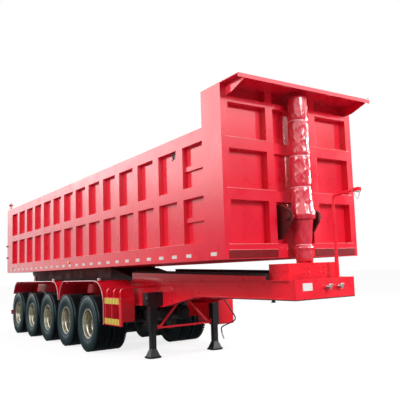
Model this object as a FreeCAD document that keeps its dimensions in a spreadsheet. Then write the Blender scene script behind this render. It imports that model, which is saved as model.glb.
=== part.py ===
import FreeCAD, Part
import math
import os
import re
import Sketcher

# Rear-tipping dump trailer on five twin-tyred axles.
# Frame: +X forward, +Y left, +Z up, millimetres; the ground is z = 0 and the
# origin lies under the middle of the trailer.

# Driving sizes: name, value in millimetres unless the note says otherwise, note.
SIZES = [
    ("body_length", 11650, "tipping body, front face to rear posts' back"),
    ("body_width", 2500, "over the side ribs"),
    ("body_rise", 300, "chassis deck to the body's underside"),
    ("side_height", 1880, "underside to top of the side rail"),
    ("wall_height", 2400, "underside to top of the front wall"),
    ("sheet", 8, "side, front and gate sheets"),
    ("rib_depth", 76, "side ribs and rails, out from the sheet"),
    ("rib_width", 195, "face of a side rib"),
    ("rib_taper", 22, "how much wider a rib is at the sheet, each side"),
    ("first_rib", 1065, "front face to the first rib's front edge"),
    ("rib_pitch", 775, "rib to rib"),
    ("cheek_length", 495, "flush plate at the front of each side"),
    ("rear_post", 510, "rear post of each side, along the body"),
    ("bottom_rail", 256, "height of the bottom rail"),
    ("waist_low", 909, "underside to the waist rail"),
    ("waist_rail", 161, "height of the waist rail"),
    ("top_rail", 188, "height of the top rail"),
    ("stiffener_high", 1326, "underside to the first bay's upper stiffener"),
    ("stiffener_low", 564, "underside to the first bay's lower stiffener"),
    ("stiffener", 70, "height of those stiffeners"),
    ("stiffener_depth", 40, "their depth out from the sheet"),
    ("floor_rise", 130, "underside to the floor's top"),
    ("floor_sheet", 12, "floor plate"),
    ("bearer_width", 70, "cross bearer under the floor"),
    ("sill_width", 90, "longitudinal sill under the body"),
    ("guide_clear", 20, "body guide to the sills' front ends"),
    ("front_depth", 120, "front wall's ribs, forward of its sheet"),
    ("front_rib_in", 350, "centre line to the upright ribs"),
    ("front_rib", 130, "width of an upright rib"),
    ("front_edge", 42, "upright edge of the front wall, inside each side's skin"),
    ("front_low_beam", 200, "height of the front wall's bottom beam"),
    ("front_mid_low", 800, "underside to the lower cross rail"),
    ("front_mid_high", 1505, "underside to the upper cross rail"),
    ("front_mid_rail", 156, "height of both cross rails"),
    ("front_top_low", 2147, "underside to the top cross strip"),
    ("front_top_strip", 80, "height of the top cross strip"),
    ("mid_rail_depth", 50, "cross rails' depth behind the hoist"),
    ("hoist_notch", 170, "half width of the notch in the bottom beam"),
    ("canopy_reach", 440, "canopy, forward of the front face"),
    ("canopy_sheet", 10, "canopy plate"),
    ("canopy_lip", 56, "height of the canopy's front lip"),
    ("gusset_depth", 172, "canopy gusset at the wall"),
    ("gusset_tip", 70, "canopy gusset at the front"),
    ("gusset_slope", 12, "rise of the gusset's lower edge over a third of its length"),
    ("gusset_inset", 100, "gusset's inset from the body's side"),
    ("gate_depth", 190, "tailgate's outer face, behind the posts"),
    ("gate_gap", 8, "gap between the gate's sheet and the posts"),
    ("gate_inset", 25, "gate's inset from the body's sides"),
    ("gate_rib", 100, "width of a gate rib"),
    ("gate_foot", 20, "body's underside to the gate's lower edge"),
    ("gate_top", 10, "gate's upper edge, under the top rail's"),
    ("latch_low", 430, "underside to the lower latch knob"),
    ("latch_high", 770, "underside to the upper latch knob"),
    ("latch", 22, "latch knob, out from the gate's edge"),
    ("ear_inset", 70, "gate hinge ear's inner side, in from the body's side"),
    ("ear_thick", 24, "plate of an ear"),
    ("ear_rise", 215, "top rail to the top of an ear"),
    ("gate_pin_rise", 150, "top rail to the gate's hinge pins"),
    ("gate_pin_ahead", 70, "gate's hinge pins, ahead of the rear"),
    ("gate_pin", 20, "radius of a gate hinge pin"),
    ("ride_height", 348, "axles' centres to the deep chassis beam's underside"),
    ("beam_depth", 470, "depth of the deep chassis beam"),
    ("neck_rise", 205, "gooseneck's underside, above the deep beam's"),
    ("tail_rise", 120, "underside at the tail, above the deep beam's"),
    ("beam_clear", 125, "inner tyre's side to the middle of a chassis web"),
    ("web", 10, "chassis web plate"),
    ("flange", 14, "chassis flange plate"),
    ("flange_width", 135, "chassis flange"),
    ("nose_reach", 550, "chassis front, forward of the body's face"),
    ("front_beam_depth", 120, "gooseneck's front channel"),
    ("neck_share", 0.46292, "front face to the end of the level gooseneck, as a share of the bay"),
    ("drop_share", 0.74641, "front face to the start of the deep beam, as a share of the bay"),
    ("tail_slope", 340, "length of the tapered tail"),
    ("cross_width", 70, "cross member flanges"),
    ("cross_height", 150, "cross member height"),
    ("cross_plate", 8, "cross member plate"),
    ("member_rise", 30, "cross members of the gooseneck and tail, above the underside"),
    ("leg_member_rise", 90, "cross member at the legs, above the underside"),
    ("axle_member_rise", 60, "cross members at the axles, above the underside"),
    ("neck_member", 100, "first cross member, ahead of the front face"),
    ("kingpin_member_ahead", 250, "kingpin to the cross member ahead of it"),
    ("kingpin_member_back", 350, "kingpin to the cross member behind it"),
    ("coupler", 12, "coupler plate"),
    ("coupler_share", 0.35885, "front face to the coupler plate's rear, as a share of the bay"),
    ("kingpin_share", 0.14354, "front face to the kingpin, as a share of the bay"),
    ("kingpin_boss", 36.5, "radius of the kingpin's boss"),
    ("kingpin_neck", 25.4, "radius of the kingpin's neck"),
    ("kingpin_shoulder", 36, "coupler plate's underside to the kingpin's neck"),
    ("kingpin_length", 35, "length of the kingpin's neck"),
    ("kingpin_collar", 35.7, "radius of the kingpin's lower collar"),
    ("kingpin_end", 84, "coupler plate's underside to the kingpin's end"),
    ("strip", 80, "buffer strip on the top flanges"),
    ("strip_width", 100, "width of the strip"),
    ("guide_low_share", 1.0694, "front face to the foot of the body guide, as a share of the bay"),
    ("guide_high_share", 1.2967, "front face to the top of the body guide, as a share of the bay"),
    ("seat_gap", 0.3, "clearance between pieces that seat but part"),
    ("hinge_inset", 300, "tipping hinge, ahead of the rear"),
    ("hinge_rise", 110, "tipping hinge, above the deck"),
    ("hinge_pin", 30, "radius of a tipping pin"),
    ("hinge_boss", 74, "radius of the sill's eye"),
    ("hinge_ear", 17, "plate of a tipping hinge ear"),
    ("hinge_side_gap", 5, "running gap beside the sill's eye"),
    ("tail_behind", 50, "chassis tail, behind the tipping hinge"),
    ("hoist_ahead", 150, "hoist's axis, forward of the front face"),
    ("hoist_pin_rise", 110, "hoist's base pin, above the deck"),
    ("hoist_pin", 30, "radius of the base pin"),
    ("eye_radius", 80, "hoist's lower eye"),
    ("eye_half", 88, "half width of the lower eye"),
    ("lug_gap", 6, "gap beside the lower eye"),
    ("lug_thick", 30, "cradle lug plate"),
    ("cradle_back", 70, "cradle, behind the front face"),
    ("cradle_front", 345, "cradle, ahead of the front face"),
    ("cradle_inset", 5, "cradle's side, in from the chassis web"),
    ("cradle_height", 215, "height of the cradle"),
    ("cradle_plate", 30, "plate of the cradle"),
    ("trunnion_height", 580, "body's underside to the trunnion"),
    ("trunnion_pin", 34, "radius of a trunnion stub"),
    ("trunnion_half", 232, "half length over the stubs"),
    ("bracket_gap", 7, "from a stub's end to the bracket"),
    ("bracket_plate", 36, "trunnion bracket's cheek"),
    ("bracket_front", 225, "bracket, ahead of the front face"),
    ("bracket_low", 320, "bracket's foot, below the trunnion"),
    ("bracket_high", 180, "bracket's top, above the trunnion"),
    ("cover_radius", 140, "hoist's outer cover"),
    ("cover_wall", 12, "wall of the cover"),
    ("cover_drop", 52, "cover's end below the trunnion"),
    ("cover_top", 1735, "cover's top above the trunnion"),
    ("ring_radius", 166, "trunnion ring"),
    ("ring_height", 100, "trunnion ring"),
    ("foot_radius", 122, "hoist's foot tube"),
    ("foot_low", 130, "base pin to the foot tube's lower end"),
    ("foot_top", 330, "base pin to the flange on the foot tube"),
    ("foot_flange", 136, "radius of that flange"),
    ("foot_flange_height", 26, "its height"),
    ("base_radius", 106, "hoist's base tube"),
    ("base_top", 2300, "base pin to the base tube's top"),
    ("stage_step", 11, "each stage's radius under the one before"),
    ("stage_gap", 0.4, "running clearance between stages"),
    ("stage_low", 145, "base pin to the first stage's foot"),
    ("stage_lift", 22, "each stage's ends above the one before"),
    ("stage_ring", 8, "gland ring, out from a stage's end"),
    ("stage_ring_height", 14, "gland ring"),
    ("bay_start", 940, "first axle to the rear end of the side guard"),
    ("leg_share", 0.20335, "side guard's rear end to the legs, as a share of the bay"),
    ("leg_outboard", 185, "chassis web to the middle of a leg"),
    ("leg_outer", 140, "outer tube, square"),
    ("leg_inner", 100, "inner tube, square"),
    ("leg_low", 480, "lower end of the outer tube"),
    ("leg_rise", 270, "upper end of the outer tube, above the deep beam's underside"),
    ("leg_plate", 90, "half length of the leg's mounting plate"),
    ("foot_plate", 30, "thickness of a foot plate"),
    ("foot_length", 270, "foot plate, along the trailer"),
    ("foot_width", 250, "foot plate, across"),
    ("foot_flare", 130, "height of the flared foot"),
    ("gear_height", 240, "leg's gearbox"),
    ("gear_out", 40, "gearbox, out from the leg"),
    ("gear_back", 160, "gearbox, behind the leg's axis"),
    ("gear_ahead", 70, "gearbox, ahead of the leg's axis"),
    ("brace", 36, "leg brace bar"),
    ("brace_rise", 50, "outer tube's lower end to the brace's tie"),
    ("brace_top_half", 110, "half width of the brace's top"),
    ("crank_rod", 12, "radius of the crank rod"),
    ("crank_out", 180, "crank's plane, out from the leg's axis"),
    ("crank_drop", 120, "leg's top to the crank's shaft"),
    ("crank_reach", 480, "shaft to the crank's hook, forward"),
    ("crank_hook", 420, "shaft down to the hook"),
    ("crank_back", 60, "shaft to the crank's elbow, forward"),
    ("crank_elbow", 630, "shaft down to the elbow"),
    ("crank_grip", 160, "shaft to the grip's end, forward"),
    ("crank_end", 850, "shaft down to the grip's end"),
    ("box_ahead", 970, "first axle to the toolbox's rear end"),
    ("box_share", 0.10766, "length of the toolbox, as a share of the bay"),
    ("box_inset", 70, "toolbox's outer side, in from the body's side"),
    ("box_strap", 60, "bracket that carries the toolbox, along the trailer"),
    ("box_height", 520, "toolbox"),
    ("box_rise", 70, "toolbox's top, above the deep beam's underside"),
    ("lid_inset", 20, "toolbox's lid, in from its ends"),
    ("lid_edge", 30, "toolbox's lid, in from its top and foot"),
    ("lid", 12, "toolbox's lid, out from its side"),
    ("guard_share", 0.18182, "length of the side guard, as a share of the bay"),
    ("guard_inset", 15, "side guard's outer face, in from the body's side"),
    ("guard_bar", 30, "side guard's bars"),
    ("guard_height", 510, "side guard"),
    ("guard_rise", 200, "side guard's top, above the deep beam's underside"),
    ("guard_post", 100, "side guard's wide front post"),
    ("guard_rod", 14, "radius of the guard's stays"),
    ("guard_rod_rise", 170, "stays above the guard"),
    ("plate_height", 105, "striped plate"),
    ("plate_sheet", 4, "striped plate"),
    ("plate_foot", 20, "guard's underside to the lower striped plate"),
    ("plate_top", 15, "guard's top to the upper striped plate"),
    ("tyre_radius", 562, "tyre, to the middle of a flat"),
    ("tyre_width", 300, "tyre"),
    ("tyre_shoulder", 44, "shoulder, down and in"),
    ("rim_radius", 254, "bead seat of the rim"),
    ("rim_width", 230, "rim"),
    ("rim_wall", 12, "rim"),
    ("tyre_gap", 0.5, "between the tyre and its rim"),
    ("twin_spread", 170, "wheel's middle to a tyre's middle"),
    ("wheel_inset", 320, "middle of a twin wheel, in from the body's side"),
    ("hub_radius", 112, "hub"),
    ("hub_reach", 190, "hub, out from the wheel's middle"),
    ("hub_wall", 20, "end wall of the hub"),
    ("disc_out", 30, "wheel disc, out from the wheel's middle"),
    ("disc_dish", 140, "outer edge of the dish, out from the middle"),
    ("drum_radius", 205, "brake drum"),
    ("drum_back", 310, "drum's back, in from the wheel's middle"),
    ("spindle", 45, "radius of a spindle"),
    ("spindle_gap", 0.3, "running clearance round a spindle"),
    ("spindle_reach", 165, "spindle, out from the wheel's middle"),
    ("axle_radius", 70, "axle tube"),
    ("axle_short", 340, "axle tube's end to the middle of a twin wheel"),
    ("last_axle", 1130, "rearmost axle, ahead of the rear"),
    ("axle_pitch", 1350, "axle to axle"),
    ("spring_width", 80, "leaf spring"),
    ("spring_half", 485, "half length of a leaf spring"),
    ("spring_seat", 24, "seat between the axle tube and the spring"),
    ("spring_rise", 100, "spring's ends above its middle"),
    ("spring_mid", 72, "thickness of the leaves at the middle"),
    ("spring_end", 26, "thickness of the leaves at the ends"),
    ("clamp_half", 95, "half length of a spring clamp"),
    ("clamp_plate", 22, "spring clamp plate"),
    ("clamp_bolt", 18, "U-bolt leg, square"),
    ("equaliser_half", 225, "half length of an equaliser"),
    ("equaliser", 46, "height of an equaliser"),
    ("hanger_width", 110, "spring hanger, across"),
    ("hanger_top", 90, "half length of a hanger at the beam"),
    ("hanger_foot", 50, "half length of a hanger at its foot"),
    ("chamber_radius", 82, "brake chamber"),
    ("chamber_length", 170, "brake chamber"),
    ("chamber_inset", 155, "brake chamber, in from the spring"),
    ("tank_radius", 140, "air tank"),
    ("tank_share", 0.16746, "length of an air tank, as a share of the bay"),
    ("tank_ahead", 720, "first axle to the air tanks' rear ends"),
    ("tank_spread", 190, "centre line to an air tank"),
    ("tank_drop", 170, "beams' underside down to the tanks' axis"),
    ("tank_rail", 50, "straps and rails that carry the tanks"),
    ("fender_sheet", 5, "fender"),
    ("fender_rise", 40, "fenders' tops, above the deck"),
    ("fender_tail", 450, "last axle to the fenders' rear ends"),
    ("fender_tail_flat", 290, "last axle to the rear end of the level sheet"),
    ("fender_tail_drop", 340, "level sheet down to the rear ends"),
    ("fender_split", 478, "second axle back to the front ends of the rear fenders"),
    ("fender_split_flat", 500, "second axle back to the front end of their level sheet"),
    ("fender_ahead", 892, "first axle to the front fenders' front ends"),
    ("fender_ahead_flat", 890, "first axle to the front end of their level sheet"),
    ("fender_ahead_drop", 820, "level sheet down to the front ends"),
    ("fender_back_flat", 270, "second axle back to the rear end of their level sheet"),
    ("fender_back_share", 0.71174377, "second axle back to their rear ends, in tyre radii"),
    ("fender_end_share", 0.77935943, "axles up to the ends between the fenders, in tyre radii"),
    ("bend_tail", 500, "bend radius at the rear ends"),
    ("bend_split_share", 0.95238095, "bend at the rear fenders' front ends, as a share of its drop"),
    ("bend_back", 350, "bend radius at the front fenders' rear ends"),
    ("bend_ahead", 450, "bend radius at the front ends"),
    ("fender_inboard", 330, "fender's inner edge to the middle of a twin wheel"),
    ("fender_stay", 40, "thickness of a fender stay"),
    ("stay_ahead", 400, "fender stay, ahead of the first and third axles"),
    ("stay_by", 100, "fender stay, ahead of the second and fifth axles"),
    ("stay_end", 20, "fender stay, in from the fender's outer edge"),
    ("stay_lip", 10, "gusset, in from the fender's inner edge"),
    ("bumper_low", 480, "rear under-run bar's underside"),
    ("bumper_height", 120, "rear under-run bar"),
    ("bumper_depth", 80, "rear under-run bar"),
    ("bumper_inset", 70, "under-run bar's end, in from the body's side"),
    ("bumper_post", 60, "its posts, along the trailer"),
    ("bumper_post_width", 80, "its posts, across"),
    ("bumper_post_top", 60, "deck down to the posts' tops"),
    ("lamp_length", 260, "tail lamp"),
    ("lamp_depth", 50, "tail lamp"),
    ("lamp_inset", 40, "tail lamp, in from the bar's end"),
    ("lamp_edge", 12, "tail lamp, in from the bar's top and foot"),
    ("mast_reach", 1000, "hose mast's arm, forward of the front face"),
    ("mast_side", 290, "hose mast, left of the centre line"),
    ("mast_height", 1150, "hose mast above the deck"),
    ("mast_radius", 20, "hose mast pipe"),
    ("mast_sleeve", 28, "radius of its sleeve"),
    ("mast_sleeve_height", 300, "its sleeve"),
    ("mast_tip", 60, "arm's end, behind the clip's end"),
    ("mast_rise", 30, "rise of the arm"),
    ("clip_length", 130, "clip at the arm's end"),
    ("clip_gap", 2, "arm's start up to the clip"),
    ("coupling_radius", 32, "air coupling head"),
    ("coupling_reach", 70, "air coupling, out from the front beam"),
    ("coupling_drop", 120, "deck down to the couplings"),
    ("coupling_left", 240, "centre line to the left coupling"),
    ("coupling_near", 20, "centre line to the other coupling"),
]

# Sizes worked out from the driving sizes.
DERIVED = {
    "front": "(body_length + gate_depth - mast_reach) / 2",
    "rear": "front - body_length",
    "half": "body_width / 2",
    "skin": "half - rib_depth",
    "beam_low": "axle_z + ride_height",
    "beam_top": "beam_low + beam_depth",
    "neck_low": "beam_low + neck_rise",
    "tail_low": "beam_low + tail_rise",
    "body_low": "beam_top + body_rise",
    "rail_top": "body_low + side_height",
    "wall_top": "body_low + wall_height",
    "floor_top": "body_low + floor_rise",
    "wall_face": "front - front_depth",
    "nose": "front + nose_reach",
    "beam_nose": "nose - front_beam_depth",
    "beam_out": "beam_spread + flange_width / 2",
    "hinge_x": "rear + hinge_inset",
    "hinge_z": "beam_top + hinge_rise",
    "tail": "hinge_x - tail_behind",
    "strip_top": "beam_top + strip",
    "hoist_x": "front + hoist_ahead",
    "hoist_z": "beam_top + hoist_pin_rise",
    "trunnion_z": "body_low + trunnion_height",
    "bracket_in": "trunnion_half + bracket_gap",
    "axle_z": "tyre_radius",
    "spring_low": "axle_z + axle_radius + spring_seat",
    "spring_top": "spring_low + spring_rise + spring_end",
    "gate_pin_x": "rear + gate_pin_ahead",
    "gate_pin_z": "rail_top + gate_pin_rise",
    "gate_face": "rear - gate_gap",
    "gate_half": "half - gate_inset",
    "first_axle": "rear + last_axle + 4 * axle_pitch",
    "kingpin_x": "front - kingpin_back",
    "mast_x": "nose - front_beam_depth / 2",
    "ear_spread": "half - ear_inset",
    "track_half": "half - wheel_inset",
    "beam_spread": "track_half - twin_spread - tyre_width / 2 - beam_clear",
    "axle_half": "track_half - axle_short",
    "leg_spread": "beam_spread + leg_outboard",
    "chamber_spread": "beam_spread - chamber_inset",
    "cradle_half": "beam_spread - cradle_inset",
    "leg_top": "beam_low + leg_rise",
    "gear_low": "leg_top - gear_height",
    "brace_low": "leg_low + brace_rise",
    "brace_high": "beam_low + leg_member_rise",
    "box_high": "beam_low + box_rise",
    "box_low": "box_high - box_height",
    "guard_high": "beam_low + guard_rise",
    "guard_low": "guard_high - guard_height",
    "fender_top": "beam_top + fender_rise",
    "fender_end": "axle_z + fender_end_share * tyre_radius",
    "fender_back": "fender_back_share * tyre_radius",
    "bend_split": "bend_split_share * (fender_top - fender_end)",
    "box_in": "leg_spread + leg_outer / 2",
    "box_out": "half - box_inset",
    "guard_out": "half - guard_inset",
    "fender_in": "track_half - fender_inboard",
    "fender_out": "half",
    "bumper_half": "half - bumper_inset",
    "bay_x": "first_axle + bay_start",
    "bay": "front - bay_x",
    "leg_x": "bay_x + leg_share * bay",
    "box_x": "first_axle + box_ahead",
    "box_length": "box_share * bay",
    "tank_x": "first_axle + tank_ahead",
    "tank_length": "tank_share * bay",
    "neck_end": "neck_share * bay",
    "drop_end": "drop_share * bay",
    "coupler_back": "coupler_share * bay",
    "kingpin_back": "kingpin_share * bay",
    "guide_start": "guide_low_share * bay",
    "guide_end": "guide_high_share * bay",
    "sill_start": "guide_end + strip_width + guide_clear",
}

LEFT, RIGHT = 1, -1
SIDES = {"left": LEFT, "right": RIGHT}
AXLES = 5
STAGES = 5
FLAT_COUNT = 24
ROD_FLATS = 8
SAME_POINT = 1e-6
WORD = re.compile(r"[a-z_][a-z0-9_]*")

doc = FreeCAD.newDocument("DumpTrailer")
sheet = doc.addObject("Spreadsheet::Sheet", "Sizes")
for row, (alias, size, note) in enumerate(SIZES, start=1):
    sheet.set(f"A{row}", alias)
    sheet.set(f"B{row}", str(size))
    sheet.set(f"C{row}", note)
    sheet.setAlias(f"B{row}", alias)
doc.recompute()
ALIASES = {alias for alias, size, note in SIZES}
nodes = []


def ex(text):
    """An expression on the sheet's cells from one written with plain names."""
    def swap(match):
        word = match.group()
        if word in DERIVED:
            return "(" + ex(DERIVED[word]) + ")"
        return "Sizes." + word if word in ALIASES else word
    return WORD.sub(swap, str(text))


def value(text):
    return float(sheet.evalExpression(ex(text)))


def bind(thing, prop, text):
    thing.setExpression(prop, ex(text))


def place(thing, x, y, z):
    for axis, text in zip("xyz", (x, y, z)):
        bind(thing, "Placement.Base." + axis, text)
    return thing


def node(label, thing):
    """Names a finished sub-part."""
    thing.Label = label
    nodes.append(thing)
    return thing


def block(x, y, z):
    """A box between low and high along each axis."""
    box = doc.addObject("Part::Box", "Block")
    for prop, (low, high) in zip(("Length", "Width", "Height"), (x, y, z)):
        bind(box, prop, f"({high}) - ({low})")
    return place(box, x[0], y[0], z[0])


TURNS = {
    "x": FreeCAD.Rotation(FreeCAD.Vector(0, 1, 0), 90),
    "y": FreeCAD.Rotation(FreeCAD.Vector(1, 0, 0), -90),
    "z": FreeCAD.Rotation(),
}


def bar(axis, radius, start, length):
    """A round bar from its start, along +axis."""
    rod = doc.addObject("Part::Cylinder", "Bar")
    rod.Placement = FreeCAD.Placement(FreeCAD.Vector(), TURNS[axis])
    bind(rod, "Radius", radius)
    bind(rod, "Height", length)
    return place(rod, *start)


PLANES = {
    "side": FreeCAD.Rotation(FreeCAD.Vector(1, 0, 0), 90),
    "cross": FreeCAD.Rotation(FreeCAD.Vector(1, 1, 1), 120),
    "plan": FreeCAD.Rotation(),
}


def draw(sketch, points):
    """A closed outline in a sketch, each corner held by two sizes."""
    corners = [FreeCAD.Vector(value(a), value(b), 0) for a, b in points]
    count = len(corners)
    following = corners[1:] + corners[:1]
    sketch.addGeometry([Part.LineSegment(a, b) for a, b in zip(corners, following)], False)
    rules = [Sketcher.Constraint("Coincident", i, 2, (i + 1) % count, 1) for i in range(count)]
    for i, corner in enumerate(corners):
        rules.append(Sketcher.Constraint("DistanceX", -1, 1, i, 1, corner.x))
        rules.append(Sketcher.Constraint("DistanceY", -1, 1, i, 1, corner.y))
    sketch.addConstraint(rules)
    for i, (a, b) in enumerate(points):
        bind(sketch, f"Constraints[{count + 2 * i}]", a)
        bind(sketch, f"Constraints[{count + 2 * i + 1}]", b)


def plate(plane, points, span):
    """An outline in a plane, given thickness over a span square to it."""
    sketch = doc.addObject("Sketcher::SketchObject", "Outline")
    draw(sketch, points)
    sketch.Placement = FreeCAD.Placement(FreeCAD.Vector(), PLANES[plane])
    low, high = span
    start = {"side": ("y", high), "cross": ("x", low), "plan": ("z", low)}[plane]
    bind(sketch, "Placement.Base." + start[0], start[1])
    solid = doc.addObject("Part::Extrusion", "Plate")
    solid.Base = sketch
    solid.DirMode = "Normal"
    solid.Solid = True
    bind(solid, "LengthFwd", f"({high}) - ({low})")
    return solid


def turned(points, name):
    """A body turned about its vertical axis from (radius, height) corners."""
    body = doc.addObject("PartDesign::Body", name)
    sketch = body.newObject("Sketcher::SketchObject", name + "Outline")
    plane = next(p for p in body.Origin.OriginFeatures if p.Role == "XZ_Plane")
    sketch.AttachmentSupport = [(plane, "")]
    sketch.MapMode = "FlatFace"
    draw(sketch, points)
    spun = body.newObject("PartDesign::Revolution", name + "Turned")
    spun.Profile = sketch
    spun.ReferenceAxis = (sketch, ["V_Axis"])
    spun.Angle = 360.0
    return body


def fuse(*pieces):
    joined = doc.addObject("Part::MultiFuse", "Fuse")
    joined.Shapes = list(pieces)
    joined.Refine = True
    return joined


def cut(base, tool):
    rest = doc.addObject("Part::Cut", "Cut")
    rest.Base = base
    rest.Tool = tool
    return rest


def group(*pieces):
    """Solids that don't touch, as one sub-part."""
    bundle = doc.addObject("Part::Compound", "Group")
    bundle.Links = list(pieces)
    return bundle


def copy(source, x, y, z, turn=FreeCAD.Rotation()):
    """The same piece at another place."""
    twin = doc.addObject("Part::Compound", "Copy")
    twin.Links = [source]
    twin.Placement = FreeCAD.Placement(FreeCAD.Vector(), turn)
    return place(twin, x, y, z)


def formed(shape, name):
    """A shape made from the sheet's values by this file's own functions."""
    piece = doc.addObject("Part::Feature", name)
    piece.Shape = shape
    return piece


def across(side, inner, outer):
    """The span in Y between two distances from the centre line."""
    if side == LEFT:
        return (inner, outer)
    return (f"-({outer})", f"-({inner})")


def about(middle, width):
    return (f"({middle}) - ({width}) / 2", f"({middle}) + ({width}) / 2")


def channel_outline(x, z, width, height, wall):
    """A channel's section, open towards -X, its back at x + width."""
    return [(x, z), (f"{x} + {width}", z), (f"{x} + {width}", f"{z} + {height}"),
            (x, f"{z} + {height}"), (x, f"{z} + {height} - {wall}"),
            (f"{x} + {width} - {wall}", f"{z} + {height} - {wall}"),
            (f"{x} + {width} - {wall}", f"{z} + {wall}"), (x, f"{z} + {wall}")]


def outward(solid):
    """The same solid with its faces turned outward."""
    if solid.Volume < 0:
        solid.reverse()
    return solid


def rounded_path(points, radii):
    """Straight runs joined by tangent arcs, one radius for each inner corner."""
    edges, start = [], points[0]
    for before, corner, after, radius in zip(points, points[1:], points[2:], radii):
        run_in = (corner - before).normalize()
        run_out = (after - corner).normalize()
        turn = run_in.getAngle(run_out)
        reach = radius * math.tan(turn / 2)
        first = corner - run_in * reach
        last = corner + run_out * reach
        inward = (run_out - run_in).normalize()
        middle = corner + inward * (radius / math.cos(turn / 2) - radius)
        edges.append(Part.LineSegment(start, first).toShape())
        edges.append(Part.Arc(first, middle, last).toShape())
        start = last
    edges.append(Part.LineSegment(start, points[-1]).toShape())
    return edges


def bent_rod(points, radius, bend, name):
    """A rod along straight runs with one bend radius, its round face drawn as flats."""
    path = [FreeCAD.Vector(value(x), value(y), value(z)) for x, y, z in points]
    spine = Part.Wire(rounded_path(path, [value(bend)] * (len(path) - 2)))
    along = (path[1] - path[0]).normalize()
    start = FreeCAD.Rotation(FreeCAD.Vector(0, 0, 1), along)
    swell = value(radius) / math.cos(math.pi / ROD_FLATS)
    turns = [math.pi * (2 * i + 1) / ROD_FLATS for i in range(ROD_FLATS + 1)]
    corners = [FreeCAD.Vector(math.cos(t), math.sin(t), 0) * swell for t in turns]
    section = Part.makePolygon([path[0] + start.multVec(corner) for corner in corners])
    return formed(outward(spine.makePipeShell([section], True, False)), name)


def folded_sheet(points, bends, sheet_size, span, name):
    """A sheet along a path in the side plane; the path is its upper face.

    Each inner corner has its own bend radius."""
    low, high = value(span[0]), value(span[1])
    upper = [FreeCAD.Vector(value(x), low, value(z)) for x, z in points]
    thick = value(sheet_size)
    runs = [(b - a).normalize() for a, b in zip(upper, upper[1:])]
    below = [FreeCAD.Vector(run.z, 0, -run.x) for run in runs]
    lower = [upper[0] + below[0] * thick]
    for corner, first, second in zip(upper[1:], below, below[1:]):
        both = (first + second).normalize()
        lower.append(corner + both * (thick / both.dot(first)))
    lower.append(upper[-1] + below[-1] * thick)
    radii = [value(bend) for bend in bends]
    top = rounded_path(upper, radii)
    under = rounded_path(lower[::-1], [radius - thick for radius in radii[::-1]])
    ends = [Part.LineSegment(upper[-1], lower[-1]).toShape(),
            Part.LineSegment(lower[0], upper[0]).toShape()]
    outline = Part.Wire(top + [ends[0]] + under + [ends[1]])
    return formed(Part.Face(outline).extrude(FreeCAD.Vector(0, high - low, 0)), name)


def flat_sided(profile, flats, name):
    """A ring turned about Y from a closed (radius, y) profile, with flat facets.

    Radii are to the middle of a flat, and one flat faces down."""
    swell = 1 / math.cos(math.pi / flats)
    corners = [(value(radius) * swell, value(along)) for radius, along in profile]
    turns = [math.pi * (2 * i + 1) / flats - math.pi / 2 for i in range(flats)]
    rings = [[FreeCAD.Vector(r * math.cos(t), y, r * math.sin(t)) for t in turns]
             for r, y in corners]
    faces = []
    for ring, beside in zip(rings, rings[1:] + rings[:1]):
        for i in range(flats):
            j = (i + 1) % flats
            loop = [ring[i]]
            for corner in (ring[j], beside[j], beside[i]):
                if corner.distanceToPoint(loop[-1]) > SAME_POINT:
                    loop.append(corner)
            if loop[-1].distanceToPoint(loop[0]) < SAME_POINT:
                loop.pop()
            if len(loop) > 2:
                faces.append(Part.Face(Part.makePolygon(loop + loop[:1])))
    return formed(outward(Part.Solid(Part.Shell(faces))), name)


def bowed_leaf(x, z, half, rise, middle, end, span, name):
    """A leaf pack seen from the side: two arcs between blunt ends."""
    x, z, half, rise, middle, end = (value(t) for t in (x, z, half, rise, middle, end))
    low, high = value(span[0]), value(span[1])

    def at(dx, dz):
        return FreeCAD.Vector(x + dx, low, z + dz)

    under = Part.Arc(at(-half, rise), at(0, 0), at(half, rise)).toShape()
    over = Part.Arc(at(half, rise + end), at(0, middle), at(-half, rise + end)).toShape()
    ends = [Part.LineSegment(at(half, rise), at(half, rise + end)).toShape(),
            Part.LineSegment(at(-half, rise + end), at(-half, rise)).toShape()]
    outline = Part.Wire([under, ends[0], over, ends[1]])
    return formed(Part.Face(outline).extrude(FreeCAD.Vector(0, high - low, 0)), name)


# Chassis

def make_frame_beams():
    under = [("beam_nose", "neck_low"), ("front - neck_end", "neck_low"),
             ("front - drop_end", "beam_low"), ("tail + tail_slope", "beam_low"),
             ("tail", "tail_low")]
    raised = [(x, f"{z} + flange") for x, z in under]
    beams = []
    for side in SIDES.values():
        middle = f"{side} * beam_spread"
        web = plate("side", [("beam_nose", "beam_top - flange / 2"), 
                             *[(x, f"{z} + flange / 2") for x, z in under],
                             ("tail", "beam_top - flange / 2")], about(middle, "web"))
        upper = block(("tail", "beam_nose"), about(middle, "flange_width"),
                      ("beam_top - flange", "beam_top"))
        lower = plate("side", under + raised[::-1], about(middle, "flange_width"))
        beams.append(fuse(web, upper, lower))
    node("frame_beams", group(*beams))


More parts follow.
